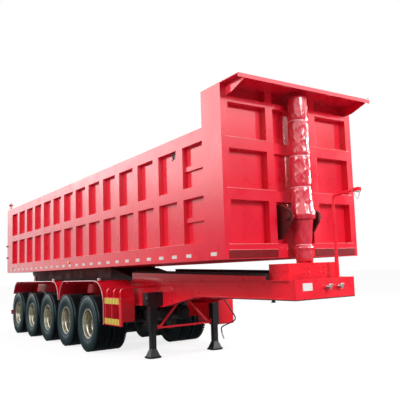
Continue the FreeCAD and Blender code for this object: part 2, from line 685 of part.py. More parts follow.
def make_crossmembers():
    inner = ("-(beam_spread - web / 2)", "beam_spread - web / 2")
    # x of the channel's front face, height of its underside
    places = [(x, "neck_low + member_rise")
              for x in ("front + neck_member", "kingpin_x + kingpin_member_ahead",
                        "kingpin_x - kingpin_member_back", "front - neck_end")]
    places.append(("leg_x + cross_width / 2", "beam_low + leg_member_rise"))
    for i in range(AXLES + 1):
        places.append((f"first_axle + axle_pitch / 2 - {i} * axle_pitch + cross_width / 2",
                       "beam_low + axle_member_rise" if i < AXLES else
                       "tail_low + member_rise"))
    members = [plate("side", channel_outline(f"{x} - cross_width", z, "cross_width",
                                             "cross_height", "cross_plate"), inner)
               for x, z in places]
    outline = channel_outline("beam_nose", "neck_low", "front_beam_depth",
                              "beam_top - neck_low", "flange")
    caps = [block(("beam_nose", "nose"), across(side, "beam_out - web", "beam_out"),
                  ("neck_low", "beam_top")) for side in SIDES.values()]
    members.append(fuse(plate("side", outline, ("-beam_out", "beam_out")), *caps))
    node("crossmembers", group(*members))


def make_coupler():
    low = "neck_low - coupler"
    base = block(("front - coupler_back", "nose"), ("-beam_out", "beam_out"),
                 (low, "neck_low"))
    neck, end = "-kingpin_shoulder", "-kingpin_end"
    collar = "-kingpin_shoulder - kingpin_length"
    profile = [(0, "coupler / 2"), ("kingpin_boss", "coupler / 2"), ("kingpin_boss", neck),
               ("kingpin_neck", neck), ("kingpin_neck", collar), ("kingpin_collar", collar),
               ("kingpin_collar", end), (0, end)]
    pin = copy(turned(profile, "Kingpin"), "kingpin_x", 0, low)
    node("coupler_plate", fuse(base, pin))


def make_buffer_strips():
    strips = []
    for side in SIDES.values():
        span = about(f"{side} * beam_spread", "strip_width")
        strip = block(("hinge_x + 2 * hinge_boss", "front - cradle_back"), span,
                      ("beam_top", "strip_top"))
        guide = plate("side", [("front - guide_start", "strip_top - strip / 2"),
                               ("front - guide_start", "strip_top"),
                               ("front - guide_end", "body_low - strip / 2"),
                               ("front - guide_end - strip_width", "body_low - strip / 2"),
                               ("front - guide_end - strip_width", "strip_top - strip / 2")],
                      span)
        strips.append(fuse(strip, guide))
    node("buffer_strips", group(*strips))


def make_hoist_cradle():
    z = ("beam_top", "beam_top + cradle_height")
    x_back, x_front = "front - cradle_back", "front + cradle_front"
    walls = [block((x_back, x_front), across(side, "cradle_half - cradle_plate",
                                             "cradle_half"), z) for side in SIDES.values()]
    walls.append(block((f"{x_front} - cradle_plate", x_front), ("-cradle_half", "cradle_half"), z))
    walls.append(block((x_back, f"{x_back} + cradle_plate"), ("-cradle_half", "cradle_half"), z))
    for side in SIDES.values():
        lug = block((x_back, x_front), across(side, "eye_half + lug_gap",
                                              "eye_half + lug_gap + lug_thick"),
                    ("beam_top", "hoist_z + eye_radius"))
        walls.append(lug)
    deck = block((x_back, x_front), ("-(beam_spread - flange_width / 2)",
                                     "beam_spread - flange_width / 2"),
                 ("beam_top - flange", "beam_top"))
    reach = "eye_half + lug_gap + lug_thick"
    pin = bar("y", "hoist_pin", ("hoist_x", f"-({reach})", "hoist_z"), f"2 * ({reach})")
    node("hoist_cradle", fuse(*walls, deck, pin))


def make_landing_legs():
    tubes, feet = [], []
    half_outer = "leg_outer / 2"
    for side in SIDES.values():
        middle = f"{side} * leg_spread"
        outer = block(about("leg_x", "leg_outer"), about(middle, "leg_outer"),
                      ("leg_low", "leg_top"))
        seat = block(("leg_x - leg_plate", "leg_x + leg_plate"),
                     across(side, "beam_spread + web / 2", f"leg_spread - {half_outer}"),
                     ("beam_low + 2 * flange", "leg_top"))
        gear = block(("leg_x - gear_back", "leg_x + gear_ahead"),
                     across(side, f"leg_spread + {half_outer}",
                            f"leg_spread + {half_outer} + gear_out"), ("gear_low", "leg_top"))
        bore = block(about("leg_x", "leg_inner + 2 * seat_gap"),
                     about(middle, "leg_inner + 2 * seat_gap"),
                     ("leg_low - web", "leg_top - 2 * web"))
        tubes.append(cut(fuse(outer, seat, gear), bore))
        inner = block(about("leg_x", "leg_inner"), about(middle, "leg_inner"),
                      ("foot_plate", "leg_top - leg_inner"))
        flare_top, flare_low = "foot_plate + foot_flare", "foot_plate"
        along = plate("side", [("leg_x - leg_inner", flare_low), ("leg_x + leg_inner", flare_low),
                               ("leg_x + leg_inner / 2", flare_top),
                               ("leg_x - leg_inner / 2", flare_top)],
                      about(middle, "2 * leg_inner"))
        beside = plate("cross", [(f"{middle} - leg_inner", flare_low),
                                 (f"{middle} + leg_inner", flare_low),
                                 (f"{middle} + leg_inner / 2", flare_top),
                                 (f"{middle} - leg_inner / 2", flare_top)],
                       about("leg_x", "2 * leg_inner"))
        flare = doc.addObject("Part::Common", "Flare")
        flare.Base, flare.Tool = along, beside
        shoe = plate("plan", [("leg_x - foot_length / 2", f"{middle} - foot_width / 4"),
                              ("leg_x - foot_length / 3", f"{middle} - foot_width / 2"),
                              ("leg_x + foot_length / 3", f"{middle} - foot_width / 2"),
                              ("leg_x + foot_length / 2", f"{middle} - foot_width / 4"),
                              ("leg_x + foot_length / 2", f"{middle} + foot_width / 4"),
                              ("leg_x + foot_length / 3", f"{middle} + foot_width / 2"),
                              ("leg_x - foot_length / 3", f"{middle} + foot_width / 2"),
                              ("leg_x - foot_length / 2", f"{middle} + foot_width / 4")],
                     (0, "foot_plate"))
        feet.append(fuse(inner, flare, shoe))
    node("leg_tubes", group(*tubes))
    node("leg_feet", group(*feet))


def make_leg_brace():
    x = about("leg_x", "brace")
    reach = "leg_spread - leg_outer / 2"
    pieces = [block(x, (f"-({reach})", reach), about("brace_low", "brace"))]
    for side in SIDES.values():
        low_y, high_y = f"{side} * ({reach} - brace)", f"{side} * brace_top_half"
        slant = [(low_y, "brace_low"), (f"{low_y} - {side} * 1.4 * brace", "brace_low"),
                 (high_y, "brace_high - 1.4 * brace"), (high_y, "brace_high")]
        pieces.append(plate("cross", slant, x))
        gusset = [(f"{side} * ({reach})", "brace_low - brace"),
                  (f"{side} * ({reach})", "brace_low + 2 * brace"),
                  (f"{side} * ({reach} - 4 * brace)", "brace_low")]
        pieces.append(plate("cross", gusset, x))
    pieces.append(block(x, ("-brace_top_half - brace / 2", "brace_top_half + brace / 2"),
                        ("brace_high - brace", "brace_high")))
    node("leg_brace", fuse(*pieces))


def make_leg_crank():
    y = "leg_spread + crank_out"
    shaft_z = "leg_top - crank_drop"
    points = [("leg_x", "leg_spread + leg_outer / 2 + gear_out", shaft_z), ("leg_x", y, shaft_z),
              ("leg_x + crank_reach", y, f"{shaft_z} - crank_hook"),
              ("leg_x + crank_back", y, f"{shaft_z} - crank_elbow"),
              ("leg_x + crank_grip", y, f"{shaft_z} - crank_end")]
    node("leg_crank", bent_rod(points, "crank_rod", "2.2 * crank_rod", "Crank"))


def make_toolbox():
    x = ("box_x", "box_x + box_length")
    case = block(x, ("box_in", "box_out"), ("box_low", "box_high"))
    cover = block((f"{x[0]} + lid_inset", f"{x[1]} - lid_inset"), ("box_out", "box_out + lid"),
                  ("box_low + lid_edge", "box_high - lid_edge"))
    straps = [block(about(f"box_x + {share} * box_length", "box_strap"),
                    ("beam_spread + web / 2", "box_in"), ("beam_low + flange", "box_high"))
              for share in (0.2, 0.8)]
    node("toolbox", fuse(case, cover, *straps))


def make_side_guard():
    y = ("-guard_out", "-(guard_out - guard_bar)")
    back, ahead = "bay_x", "bay_x + guard_share * bay"
    low, high = "guard_low", "guard_high"
    bars = [block((back, f"{back} + guard_bar"), y, (low, high)),
            block((f"{ahead} - guard_post", ahead), y, (low, high)),
            block((back, ahead), y, (low, f"{low} + guard_bar")),
            block((back, ahead), y, (f"{high} - guard_bar", high)),
            block(about(f"({back} + {ahead} - guard_post) / 2", "guard_bar"), y, (low, high))]
    middle = "-(guard_out - guard_bar / 2)"
    for share in (0.12, 0.55, 0.93):
        x = f"{back} + {share} * guard_share * bay"
        bars.append(bent_rod([(x, middle, f"{high} - guard_bar / 2"),
                              (x, middle, f"{high} + guard_rod_rise"),
                              (x, "-(beam_spread + web / 2)", f"{high} + guard_rod_rise")],
                             "guard_rod", "6 * guard_rod", "Stay"))
    node("side_guard", fuse(*bars))
    plate_y = ("-(guard_out + plate_sheet)", "-guard_out")
    x = (back, f"{ahead} - guard_post")
    node("guard_plates", group(
        block(x, plate_y, (f"{low} + plate_foot", f"{low} + plate_foot + plate_height")),
        block(x, plate_y, (f"{high} - plate_top - plate_height", f"{high} - plate_top"))))


def axle_x(i):
    return f"(first_axle - {i} * axle_pitch)"


def make_axles():
    profile = [(0, 0), ("axle_radius", 0), ("axle_radius", "axle_half"), ("spindle", "axle_half"),
               ("spindle", "track_half + spindle_reach"), (0, "track_half + spindle_reach")]
    half = turned(profile, "HalfAxle")
    axles = []
    for i in range(AXLES):
        ends = [copy(half, axle_x(i), 0, "axle_z", FreeCAD.Rotation(FreeCAD.Vector(1, 0, 0), turn))
                for turn in (-90, 90)]
        chambers = [bar("x", "chamber_radius",
                        (f"{axle_x(i)} - axle_radius / 2 - chamber_length",
                         f"{side} * chamber_spread", "axle_z"), "chamber_length")
                    for side in SIDES.values()]
        axles.append(fuse(*ends, *chambers))
    node("axles", group(*axles))


def make_springs():
    leaves, clamps, hangers = [], [], []
    low, top = "spring_low", "spring_top"
    for side in SIDES.values():
        middle = f"{side} * beam_spread"
        for i in range(AXLES):
            x = axle_x(i)
            leaves.append(bowed_leaf(x, low, "spring_half", "spring_rise", "spring_mid",
                                     "spring_end", about(middle, "spring_width"), "Leaves"))
            outer = about(middle, "spring_width + 2 * (clamp_bolt + seat_gap)")
            seat = block((f"{x} - clamp_half", f"{x} + clamp_half"), outer,
                         ("axle_z + axle_radius / 2", f"{low} - seat_gap"))
            saddle = bar("y", "axle_radius + seat_gap", (x, outer[0], "axle_z"),
                         f"({outer[1]}) - ({outer[0]})")
            cap_low = (f"({low} + spring_mid + seat_gap + 1.02 * (clamp_half / spring_half) ^ 2"
                       " * (spring_rise + spring_end - spring_mid))")
            cap = block((f"{x} - clamp_half", f"{x} + clamp_half"), outer,
                        (cap_low, f"{cap_low} + clamp_plate"))
            legs = [block((f"{x} + {end} * (clamp_half - clamp_bolt)", f"{x} + {end} * "
                           "(clamp_half - clamp_bolt) + clamp_bolt"),
                          across(side, *beside), (f"{low} - clamp_plate",
                                                  f"{cap_low} + clamp_plate"))
                    for end in (-1, 0.8)
                    for beside in (("beam_spread - spring_width / 2 - seat_gap - clamp_bolt",
                                    "beam_spread - spring_width / 2 - seat_gap"),
                                   ("beam_spread + spring_width / 2 + seat_gap",
                                    "beam_spread + spring_width / 2 + seat_gap + clamp_bolt"))]
            clamps.append(fuse(cut(seat, saddle), cap, *legs))
        for i in range(AXLES + 1):
            x = f"(first_axle + axle_pitch / 2 - {i} * axle_pitch)"
            foot = f"{top} + seat_gap"
            if 0 < i < AXLES:
                rocker = plate("side", [(f"{x} - equaliser_half", foot),
                                        (f"{x} + equaliser_half", foot),
                                        (f"{x} + hanger_foot", f"{foot} + equaliser"),
                                        (f"{x} - hanger_foot", f"{foot} + equaliser")],
                               about(middle, "spring_width"))
                foot += " + equaliser"
            else:
                x = f"({x} + {1 if i else -1} * (axle_pitch / 2 - spring_half + hanger_foot))"
            hanger = plate("side", [(f"{x} - hanger_foot", foot), (f"{x} + hanger_foot", foot),
                                    (f"{x} + hanger_top", "beam_low"),
                                    (f"{x} - hanger_top", "beam_low")],
                           about(middle, "hanger_width"))
            hangers.append(fuse(rocker, hanger) if 0 < i < AXLES else hanger)
    node("leaf_springs", group(*leaves))
    node("spring_clamps", group(*clamps))
    node("spring_hangers", group(*hangers))


def make_air_tanks():
    z = "beam_low - tank_drop"
    rail_low = "beam_low + axle_member_rise"
    tanks = []
    for side in SIDES.values():
        y = f"{side} * tank_spread"
        tank = bar("x", "tank_radius", ("tank_x", y, z), "tank_length")
        straps = [block(about(f"tank_x + {share} * tank_length", "tank_rail"),
                        about(y, "tank_radius"), (z, f"{rail_low} + cross_plate"))
                  for share in (0.25, 0.75)]
        tanks.append(fuse(tank, *straps))
    rails = [block(about(f"tank_x + {share} * tank_length", "tank_rail"),
                   ("-(beam_spread - web / 2)", "beam_spread - web / 2"),
                   (rail_low, f"{rail_low} + tank_rail")) for share in (0.25, 0.75)]
    node("air_tanks", fuse(*tanks, *rails))


def make_fenders():
    top = "fender_top"
    second, last = axle_x(1), axle_x(AXLES - 1)
    rear_path = [(f"{last} - fender_tail", f"{top} - fender_tail_drop"),
                 (f"{last} - fender_tail_flat", top), (f"{second} - fender_split_flat", top),
                 (f"{second} - fender_split", "fender_end")]
    front_path = [(f"{second} - fender_back", "fender_end"),
                  (f"{second} - fender_back_flat", top), ("first_axle + fender_ahead_flat", top),
                  ("first_axle + fender_ahead", f"{top} - fender_ahead_drop")]
    for name, side in SIDES.items():
        span = across(side, "fender_in", "fender_out")
        sheets = [folded_sheet(rear_path, ("bend_tail", "bend_split"), "fender_sheet", span,
                               "RearFender"),
                  folded_sheet(front_path, ("bend_back", "bend_ahead"), "fender_sheet", span,
                               "FrontFender")]
        node(f"fenders_{name}", group(*sheets))
    stays = []
    for side in SIDES.values():
        for place_x in (f"{axle_x(0)} + stay_ahead", f"{axle_x(1)} + stay_by",
                        f"{axle_x(2)} + stay_ahead", axle_x(3), f"{axle_x(4)} + stay_by"):
            web_y = f"{side} * (beam_spread + web / 2)"
            edge_y = f"{side} * (fender_out - stay_end)"
            lip_y = f"{side} * (fender_in + stay_lip)"
            seat = f"{top} - fender_sheet"
            stays.append(plate("cross", [(web_y, f"{seat} - 2.5 * fender_stay"),
                                         (edge_y, f"{seat} - fender_stay"), (edge_y, seat),
                                         (lip_y, seat), (lip_y, f"{seat} - 1.6 * fender_stay"),
                                         (web_y, f"{seat} - 1.6 * fender_stay")],
                               about(place_x, "fender_stay")))
    node("fender_stays", group(*stays))


def make_rear_bumper():
    posts = [block(("tail - bumper_post", "tail"),
                   about(f"{side} * beam_spread", "bumper_post_width"),
                   ("bumper_low", "beam_top - bumper_post_top")) for side in SIDES.values()]
    beam_x = ("tail - bumper_post - bumper_depth", "tail - bumper_post")
    rail = block(beam_x, ("-bumper_half", "bumper_half"),
                 ("bumper_low", "bumper_low + bumper_height"))
    node("rear_bumper", fuse(rail, *posts))
    lamp_x = (f"{beam_x[0]} - lamp_depth", beam_x[0])
    lamps = [block(lamp_x, across(side, "bumper_half - lamp_inset - lamp_length",
                                  "bumper_half - lamp_inset"),
                   ("bumper_low + lamp_edge", "bumper_low + bumper_height - lamp_edge"))
             for side in SIDES.values()]
    node("tail_lamps", group(*lamps))


def make_tip_hinges():
    hinges = []
    inner, outer = "sill_width / 2 + hinge_side_gap", "sill_width / 2 + hinge_side_gap + hinge_ear"
    for side in SIDES.values():
        ears = []
        for low, high in ((f"beam_spread - ({outer})", f"beam_spread - ({inner})"),
                          (f"beam_spread + {inner}", f"beam_spread + {outer}")):
            ears.append(plate("side", [("hinge_x - 1.6 * hinge_boss", "beam_top"),
                                         ("hinge_x + 1.6 * hinge_boss", "beam_top"),
                                         ("hinge_x + hinge_boss", "hinge_z"),
                                         ("hinge_x + hinge_boss / 2", "hinge_z + hinge_boss"),
                                         ("hinge_x - hinge_boss / 2", "hinge_z + hinge_boss"),
                                         ("hinge_x - hinge_boss", "hinge_z")],
                                across(side, low, high)))
        reach = across(side, f"beam_spread - ({outer}) - web", f"beam_spread + {outer} + web")
        pin = bar("y", "hinge_pin", ("hinge_x", reach[0], "hinge_z"),
                  f"({reach[1]}) - ({reach[0]})")
        hinges.append(fuse(*ears, pin))
    node("tip_hinges", group(*hinges))


def make_hose_mast():
    z_top = "beam_top + mast_height"
    pipe = bent_rod([("mast_x", "mast_side", "beam_top"), ("mast_x", "mast_side", z_top),
                     ("front + mast_reach - mast_tip", "mast_side", f"{z_top} + mast_rise")],
                    "mast_radius", "2.5 * mast_radius", "MastPipe")
    sleeve = bar("z", "mast_sleeve", ("mast_x", "mast_side", "beam_top"), "mast_sleeve_height")
    foot = block(about("mast_x", "3.4 * mast_sleeve"), about("mast_side", "3.4 * mast_sleeve"),
                 ("beam_top", "beam_top + web"))
    clip = block(("front + mast_reach - clip_length", "front + mast_reach"),
                 about("mast_side", "2.6 * mast_radius"),
                 (f"{z_top} + clip_gap", f"{z_top} + 2.6 * mast_radius"))
    node("hose_mast", fuse(pipe, sleeve, foot, clip))


def make_air_couplings():
    heads = []
    z = "beam_top - coupling_drop"
    for y in ("coupling_left", "coupling_near"):
        stem = bar("x", "coupling_radius / 2", ("nose", y, z), "coupling_reach / 2")
        head = bar("x", "coupling_radius", ("nose + coupling_reach / 2", y, z),
                   "coupling_reach / 2")
        heads.append(fuse(stem, head))
    node("air_couplings", group(*heads))


# Tipping body

def rib_count():
    free = value("body_length - rear_post - first_rib - rib_width")
    return int(free / value("rib_pitch")) + 1


def gate_ear(side):
    """A plate on the top rail with the pin that the tailgate hangs on."""
    outline = [("rear + 2.6 * gate_pin_ahead", "rail_top"), ("rear", "rail_top"),
               ("rear", "rail_top + ear_rise / 2"),
               ("gate_pin_x - gate_pin_ahead / 2", "rail_top + ear_rise"),
               ("gate_pin_x + gate_pin_ahead / 2", "rail_top + ear_rise")]
    ear = plate("side", outline, across(side, "ear_spread", "ear_spread + ear_thick"))
    reach = across(side, "ear_spread - 2 * ear_thick", "ear_spread + ear_thick")
    pin = bar("y", "gate_pin", ("gate_pin_x", reach[0], "gate_pin_z"),
              f"({reach[1]}) - ({reach[0]})")
    return [ear, pin]


def make_side_wall(name, side):
    wall_x = ("rear", "wall_face")
    depth = across(side, "skin", "half")
    sheet_y = across(side, "skin - sheet", "skin")
    pieces = [block(wall_x, sheet_y, ("body_low", "rail_top"))]
    for low, height in (("body_low", "bottom_rail"), ("body_low + waist_low", "waist_rail"),
                        ("rail_top - top_rail", "top_rail")):
        pieces.append(block(("rear", "front - cheek_length"), depth, (low, f"{low} + {height}")))
    for i in range(rib_count()):
        ahead = f"(front - first_rib - {i} * rib_pitch)"
        back = f"({ahead} - rib_width)"
        inner, outer = f"{side} * skin", f"{side} * half"
        outline = [(f"{back} - rib_taper", inner), (f"{ahead} + rib_taper", inner),
                   (ahead, outer), (back, outer)]
        pieces.append(plate("plan", outline, ("body_low", "rail_top")))
    pieces.append(block(("rear", "rear + rear_post"), depth, ("body_low", "rail_top")))
    pieces.append(block(("front - cheek_length", "front"), depth, ("body_low", "wall_top")))
    pieces.append(block(("front - cheek_length", "wall_face"), sheet_y, ("body_low", "wall_top")))
    shallow = across(side, "skin", "skin + stiffener_depth")
    for low in ("stiffener_low", "stiffener_high"):
        pieces.append(block(("front - first_rib", "front - cheek_length"), shallow,
                            (f"body_low + {low}", f"body_low + {low} + stiffener")))
    node(f"side_wall_{name}", fuse(*pieces, *gate_ear(side)))


def make_front_wall():
    wall_x = ("wall_face", "front")
    full_y = ("-skin", "skin")
    pieces = [block(("wall_face - sheet", "wall_face"), ("-(skin - sheet)", "skin - sheet"),
                    ("body_low", "wall_top"))]
    for side in SIDES.values():
        pieces.append(block(wall_x, across(side, "hoist_notch", "skin"),
                            ("body_low", "body_low + front_low_beam")))
        for inner, outer in (("front_rib_in", "front_rib_in + front_rib"),
                             ("skin - front_edge", "skin")):
            pieces.append(block(wall_x, across(side, inner, outer), ("body_low", "wall_top")))
        for low in ("front_mid_low", "front_mid_high"):
            pieces.append(block(wall_x, across(side, "front_rib_in", "skin"),
                                (f"body_low + {low}", f"body_low + {low} + front_mid_rail")))
    for low in ("front_mid_low", "front_mid_high"):
        pieces.append(block(("wall_face", "wall_face + mid_rail_depth"),
                            ("-front_rib_in", "front_rib_in"),
                            (f"body_low + {low}", f"body_low + {low} + front_mid_rail")))
    pieces.append(block(wall_x, full_y, ("body_low + front_top_low",
                                         "body_low + front_top_low + front_top_strip")))
    pieces.append(block(wall_x, full_y, ("wall_top - canopy_sheet", "wall_top")))
    node("front_wall", fuse(*pieces))


def make_canopy():
    low = "wall_top - canopy_sheet"
    roof = block(("front", "front + canopy_reach"), ("-half", "half"), (low, "wall_top"))
    lip = block(("front + canopy_reach - canopy_sheet", "front + canopy_reach"), ("-half", "half"),
                ("wall_top - canopy_lip", "wall_top"))
    pieces = [roof, lip]
    for side in SIDES.values():
        outline = [("front", low), ("front", "wall_top - gusset_depth"),
                   ("front + canopy_reach / 3", "wall_top - gusset_depth + gusset_slope"),
                   ("front + canopy_reach - canopy_sheet", "wall_top - gusset_tip"),
                   ("front + canopy_reach - canopy_sheet", low)]
        pieces.append(plate("side", outline, across(side, "half - gusset_inset",
                                                    "half - gusset_inset + canopy_sheet")))
    node("canopy", fuse(*pieces))


def make_floor():
    inner = ("-(skin - sheet)", "skin - sheet")
    deck = block(("rear", "wall_face - sheet"), inner, ("floor_top - floor_sheet", "floor_top"))
    pieces = [deck]
    for i in range(-1, rib_count() + 1):
        middle = f"(front - first_rib - rib_width / 2 - {i} * rib_pitch)"
        if value(middle) > value("wall_face - 2 * bearer_width"):
            continue
        if value(middle) < value("rear + 2 * bearer_width"):
            continue
        pieces.append(block(about(middle, "bearer_width"), inner,
                            ("body_low", "floor_top - floor_sheet")))
    for low in ("rear", "wall_face - sheet - bearer_width"):
        pieces.append(block((low, f"{low} + bearer_width"), inner,
                            ("body_low", "floor_top - floor_sheet")))
    node("floor", fuse(*pieces))


def make_sills():
    sills = []
    for side in SIDES.values():
        span = about(f"{side} * beam_spread", "sill_width")
        low = "strip_top + seat_gap"
        beam = plate("side", [("hinge_x", low), ("front - sill_start", low),
                              ("front - sill_start", "body_low"), ("rear", "body_low"),
                              ("rear", "body_low - bearer_width"),
                              ("hinge_x - hinge_boss", "hinge_z"), ("hinge_x", "hinge_z")], span)
        boss = bar("y", "hinge_boss", ("hinge_x", span[0], "hinge_z"), "sill_width")
        hole = bar("y", "hinge_pin + spindle_gap", ("hinge_x", f"{span[0]} - 1", "hinge_z"),
                   "sill_width + 2")
        sills.append(cut(fuse(beam, boss), hole))
    node("body_sills", group(*sills))


def make_hoist_bracket():
    cheeks = []
    for side in SIDES.values():
        span = across(side, "bracket_in", "bracket_in + bracket_plate")
        outline = [("wall_face", "trunnion_z - bracket_low"),
                   ("front", "trunnion_z - bracket_low"),
                   ("front + bracket_front", "trunnion_z - 2 * trunnion_pin"),
                   ("front + bracket_front", "trunnion_z + 1.5 * trunnion_pin"),
                   ("front", "trunnion_z + bracket_high"),
                   ("wall_face", "trunnion_z + bracket_high")]
        pad = block(("wall_face", "wall_face + bracket_plate / 2"),
                    across(side, "bracket_in", "front_rib_in"),
                    ("trunnion_z - bracket_low", "trunnion_z + bracket_high"))
        cap = bar("y", "1.6 * trunnion_pin",
                  ("hoist_x", across(side, "bracket_in", "bracket_in + 2 * bracket_plate")[0],
                   "trunnion_z"), "2 * bracket_plate")
        cheeks.append(fuse(plate("side", outline, span), pad, cap))
    node("hoist_bracket", group(*cheeks))


# Tailgate

def make_tailgate():
    low, high = "body_low + gate_foot", "rail_top - gate_top"
    back = "rear - gate_depth"
    rib_x = (back, "gate_face - sheet")
    side_span = ("-gate_half", "gate_half")
    pieces = [block(("gate_face - sheet", "gate_face"), side_span, (low, high))]
    for z in (low, f"({low} + {high}) / 2 - gate_rib / 2", f"{high} - gate_rib"):
        pieces.append(block(rib_x, side_span, (z, f"{z} + gate_rib")))
    for share in (-1, -0.5, 0, 0.5, 1):
        middle = f"{share} * (gate_half - gate_rib / 2)"
        pieces.append(block(rib_x, about(middle, "gate_rib"), (low, high)))
    for side in SIDES.values():
        for knob in ("latch_low", "latch_high"):
            pieces.append(block(("gate_face - 4 * latch", "gate_face - latch"),
                                across(side, "gate_half", "gate_half + latch"),
                                (f"body_low + {knob}", f"body_low + {knob} + 2 * latch")))
        span = across(side, "ear_spread - ear_thick - hinge_side_gap",
                      "ear_spread - hinge_side_gap")
        outline = [("gate_pin_x + 2 * gate_pin", "gate_pin_z - gate_pin"),
                   ("gate_pin_x + 2 * gate_pin", "gate_pin_z + gate_pin"),
                   ("gate_pin_x", "gate_pin_z + 2 * gate_pin"),
                   (back, "gate_pin_z + gate_pin"), (back, f"{high} - gate_rib"),
                   ("gate_face", f"{high} - gate_rib"),
                   ("gate_face", "gate_pin_z - 2 * gate_pin")]
        hole = bar("y", "gate_pin + spindle_gap", ("gate_pin_x", f"{span[0]} - 1", "gate_pin_z"),
                   "ear_thick + 2")
        pieces.append(cut(plate("side", outline, span), hole))
    node("tailgate", fuse(*pieces))


# Hoist

def stage_radius(i):
    return f"(base_radius - {i} * stage_step)"


def make_hoist():
    x, z = "hoist_x", "hoist_z"
    eye = bar("y", "eye_radius", (x, "-eye_half", z), "2 * eye_half")
    neck = block(about(x, "2 * eye_radius"), ("-eye_half", "eye_half"), (z, f"{z} + foot_low"))
    foot = bar("z", "foot_radius", (x, 0, f"{z} + foot_low"), "foot_top - foot_low")
    ring = bar("z", "foot_flange", (x, 0, f"{z} + foot_top - foot_flange_height"),
               "foot_flange_height")
    tube = bar("z", "base_radius", (x, 0, f"{z} + foot_top - 1"), "base_top - foot_top + 1")
    bore = bar("z", "base_radius - stage_step + stage_gap", (x, 0, f"{z} + stage_low"),
               "base_top")
    pin_hole = bar("y", "hoist_pin + spindle_gap", (x, "-eye_half - 1", z), "2 * eye_half + 2")
    head = bar("z", "base_radius + stage_ring",
               (x, 0, f"{z} + base_top - 2 * stage_ring_height"), "2 * stage_ring_height")
    body = cut(fuse(eye, neck, foot, ring, tube, head), bore)
    node("hoist_base", cut(body, pin_hole))
    for i in range(1, STAGES):
        low = f"{z} + stage_low + {i} * stage_lift"
        length = f"base_top - stage_low + stage_lift"
        radius = f"{stage_radius(i)}"
        shell = bar("z", radius, (x, 0, low), f"base_top - stage_low")
        gland = bar("z", f"{radius} + stage_ring",
                    (x, 0, f"{low} + base_top - stage_low - stage_ring_height"),
                    "stage_ring_height")
        inner = bar("z", f"{stage_radius(i + 1)} + stage_gap", (x, 0, f"{low} + stage_lift / 2"),
                    "base_top")
        node(f"hoist_stage_{i + 1}", cut(fuse(shell, gland), inner))
    top = "trunnion_z + cover_top"
    shell = bar("z", "cover_radius", (x, 0, "trunnion_z - cover_drop"), "cover_drop + cover_top")
    collar = bar("z", "ring_radius", (x, 0, "trunnion_z - ring_height / 2"), "ring_height")
    stubs = bar("y", "trunnion_pin", (x, "-trunnion_half", "trunnion_z"), "2 * trunnion_half")
    inside = bar("z", "cover_radius - cover_wall", (x, 0, "trunnion_z - cover_drop - 1"),
                 "cover_drop + cover_top - cover_wall + 1")
    plunger_low = f"{z} + stage_low + {STAGES} * stage_lift"
    plunger = bar("z", stage_radius(STAGES), (x, 0, plunger_low),
                  f"{top} - cover_wall / 2 - ({plunger_low})")
    node("hoist_cover", fuse(cut(fuse(shell, collar, stubs), inside), plunger))


# Wheels

def make_wheels():
    half = "tyre_width / 2"
    bore = "rim_radius + tyre_gap"
    tyre = flat_sided([("tyre_radius", f"-{half} + tyre_shoulder"),
                       ("tyre_radius", f"{half} - tyre_shoulder"),
                       ("tyre_radius - tyre_shoulder", half), (bore, "rim_width / 2"),
                       (bore, "-rim_width / 2"), ("tyre_radius - tyre_shoulder", f"-{half}")],
                      FLAT_COUNT, "Tyre")
    twins = group(copy(tyre, 0, "twin_spread", 0), copy(tyre, 0, "-twin_spread", 0))
    back, edge = "-drum_back", "twin_spread + rim_width / 2"
    bore = "spindle + spindle_gap"
    wheel = flat_sided([(bore, back), ("drum_radius", back), ("drum_radius", f"-({edge})"),
                        ("rim_radius", f"-({edge})"), ("rim_radius", edge),
                        ("rim_radius - rim_wall", edge), ("rim_radius - rim_wall", "disc_dish"),
                        ("hub_radius", "disc_out"), ("hub_radius", "hub_reach"),
                        (0, "hub_reach"), (0, "hub_reach - hub_wall"),
                        (bore, "hub_reach - hub_wall")], FLAT_COUNT, "Wheel")
    return twins, wheel


def place_wheels(twins, wheel):
    turn = {LEFT: FreeCAD.Rotation(), RIGHT: FreeCAD.Rotation(FreeCAD.Vector(0, 0, 1), 180)}
    for name, side in SIDES.items():
        for i in range(AXLES):
            spot = (axle_x(i), f"{side} * track_half", "axle_z")
            node(f"tyres_{name}_{i + 1}", copy(twins, *spot, turn[side]))
            node(f"wheel_{name}_{i + 1}", copy(wheel, *spot, turn[side]))


for make in (make_frame_beams, make_crossmembers, make_coupler,
             make_buffer_strips, make_hoist_cradle, make_landing_legs, make_leg_brace,
             make_leg_crank, make_toolbox, make_side_guard, make_axles, make_springs,
             make_air_tanks, make_fenders, make_rear_bumper, make_tip_hinges,
             make_hose_mast, make_air_couplings):
    make()
for name, side in SIDES.items():
    make_side_wall(name, side)
for make in (make_front_wall, make_canopy, make_floor, make_sills,
             make_hoist_bracket, make_tailgate, make_hoist):
    make()
place_wheels(*make_wheels())

doc.recompute()
for thing in doc.Objects:
    if {"Invalid", "Error"} & set(thing.State):
        raise RuntimeError(f"{thing.Name} failed: {thing.State}")
os.makedirs("parts", exist_ok=True)
for part in nodes:
    shape = part.Shape
    if shape.isNull() or not shape.isValid():
        raise RuntimeError(f"{part.Label} has no valid shape")
    shape.exportStep(f"parts/{part.Label}.step")
    box = shape.BoundBox
    print(f"{part.Label}: {len(shape.Solids)} solids, {shape.Volume / 1e9:.4f} m3, "
          f"x {box.XMin:.0f} {box.XMax:.0f} y {box.YMin:.0f} {box.YMax:.0f} "
          f"z {box.ZMin:.0f} {box.ZMax:.0f}")
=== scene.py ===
import math
import random

import bmesh
import bpy
from bpy.props import FloatProperty, FloatVectorProperty, IntProperty, PointerProperty
from mathutils import Matrix, Vector


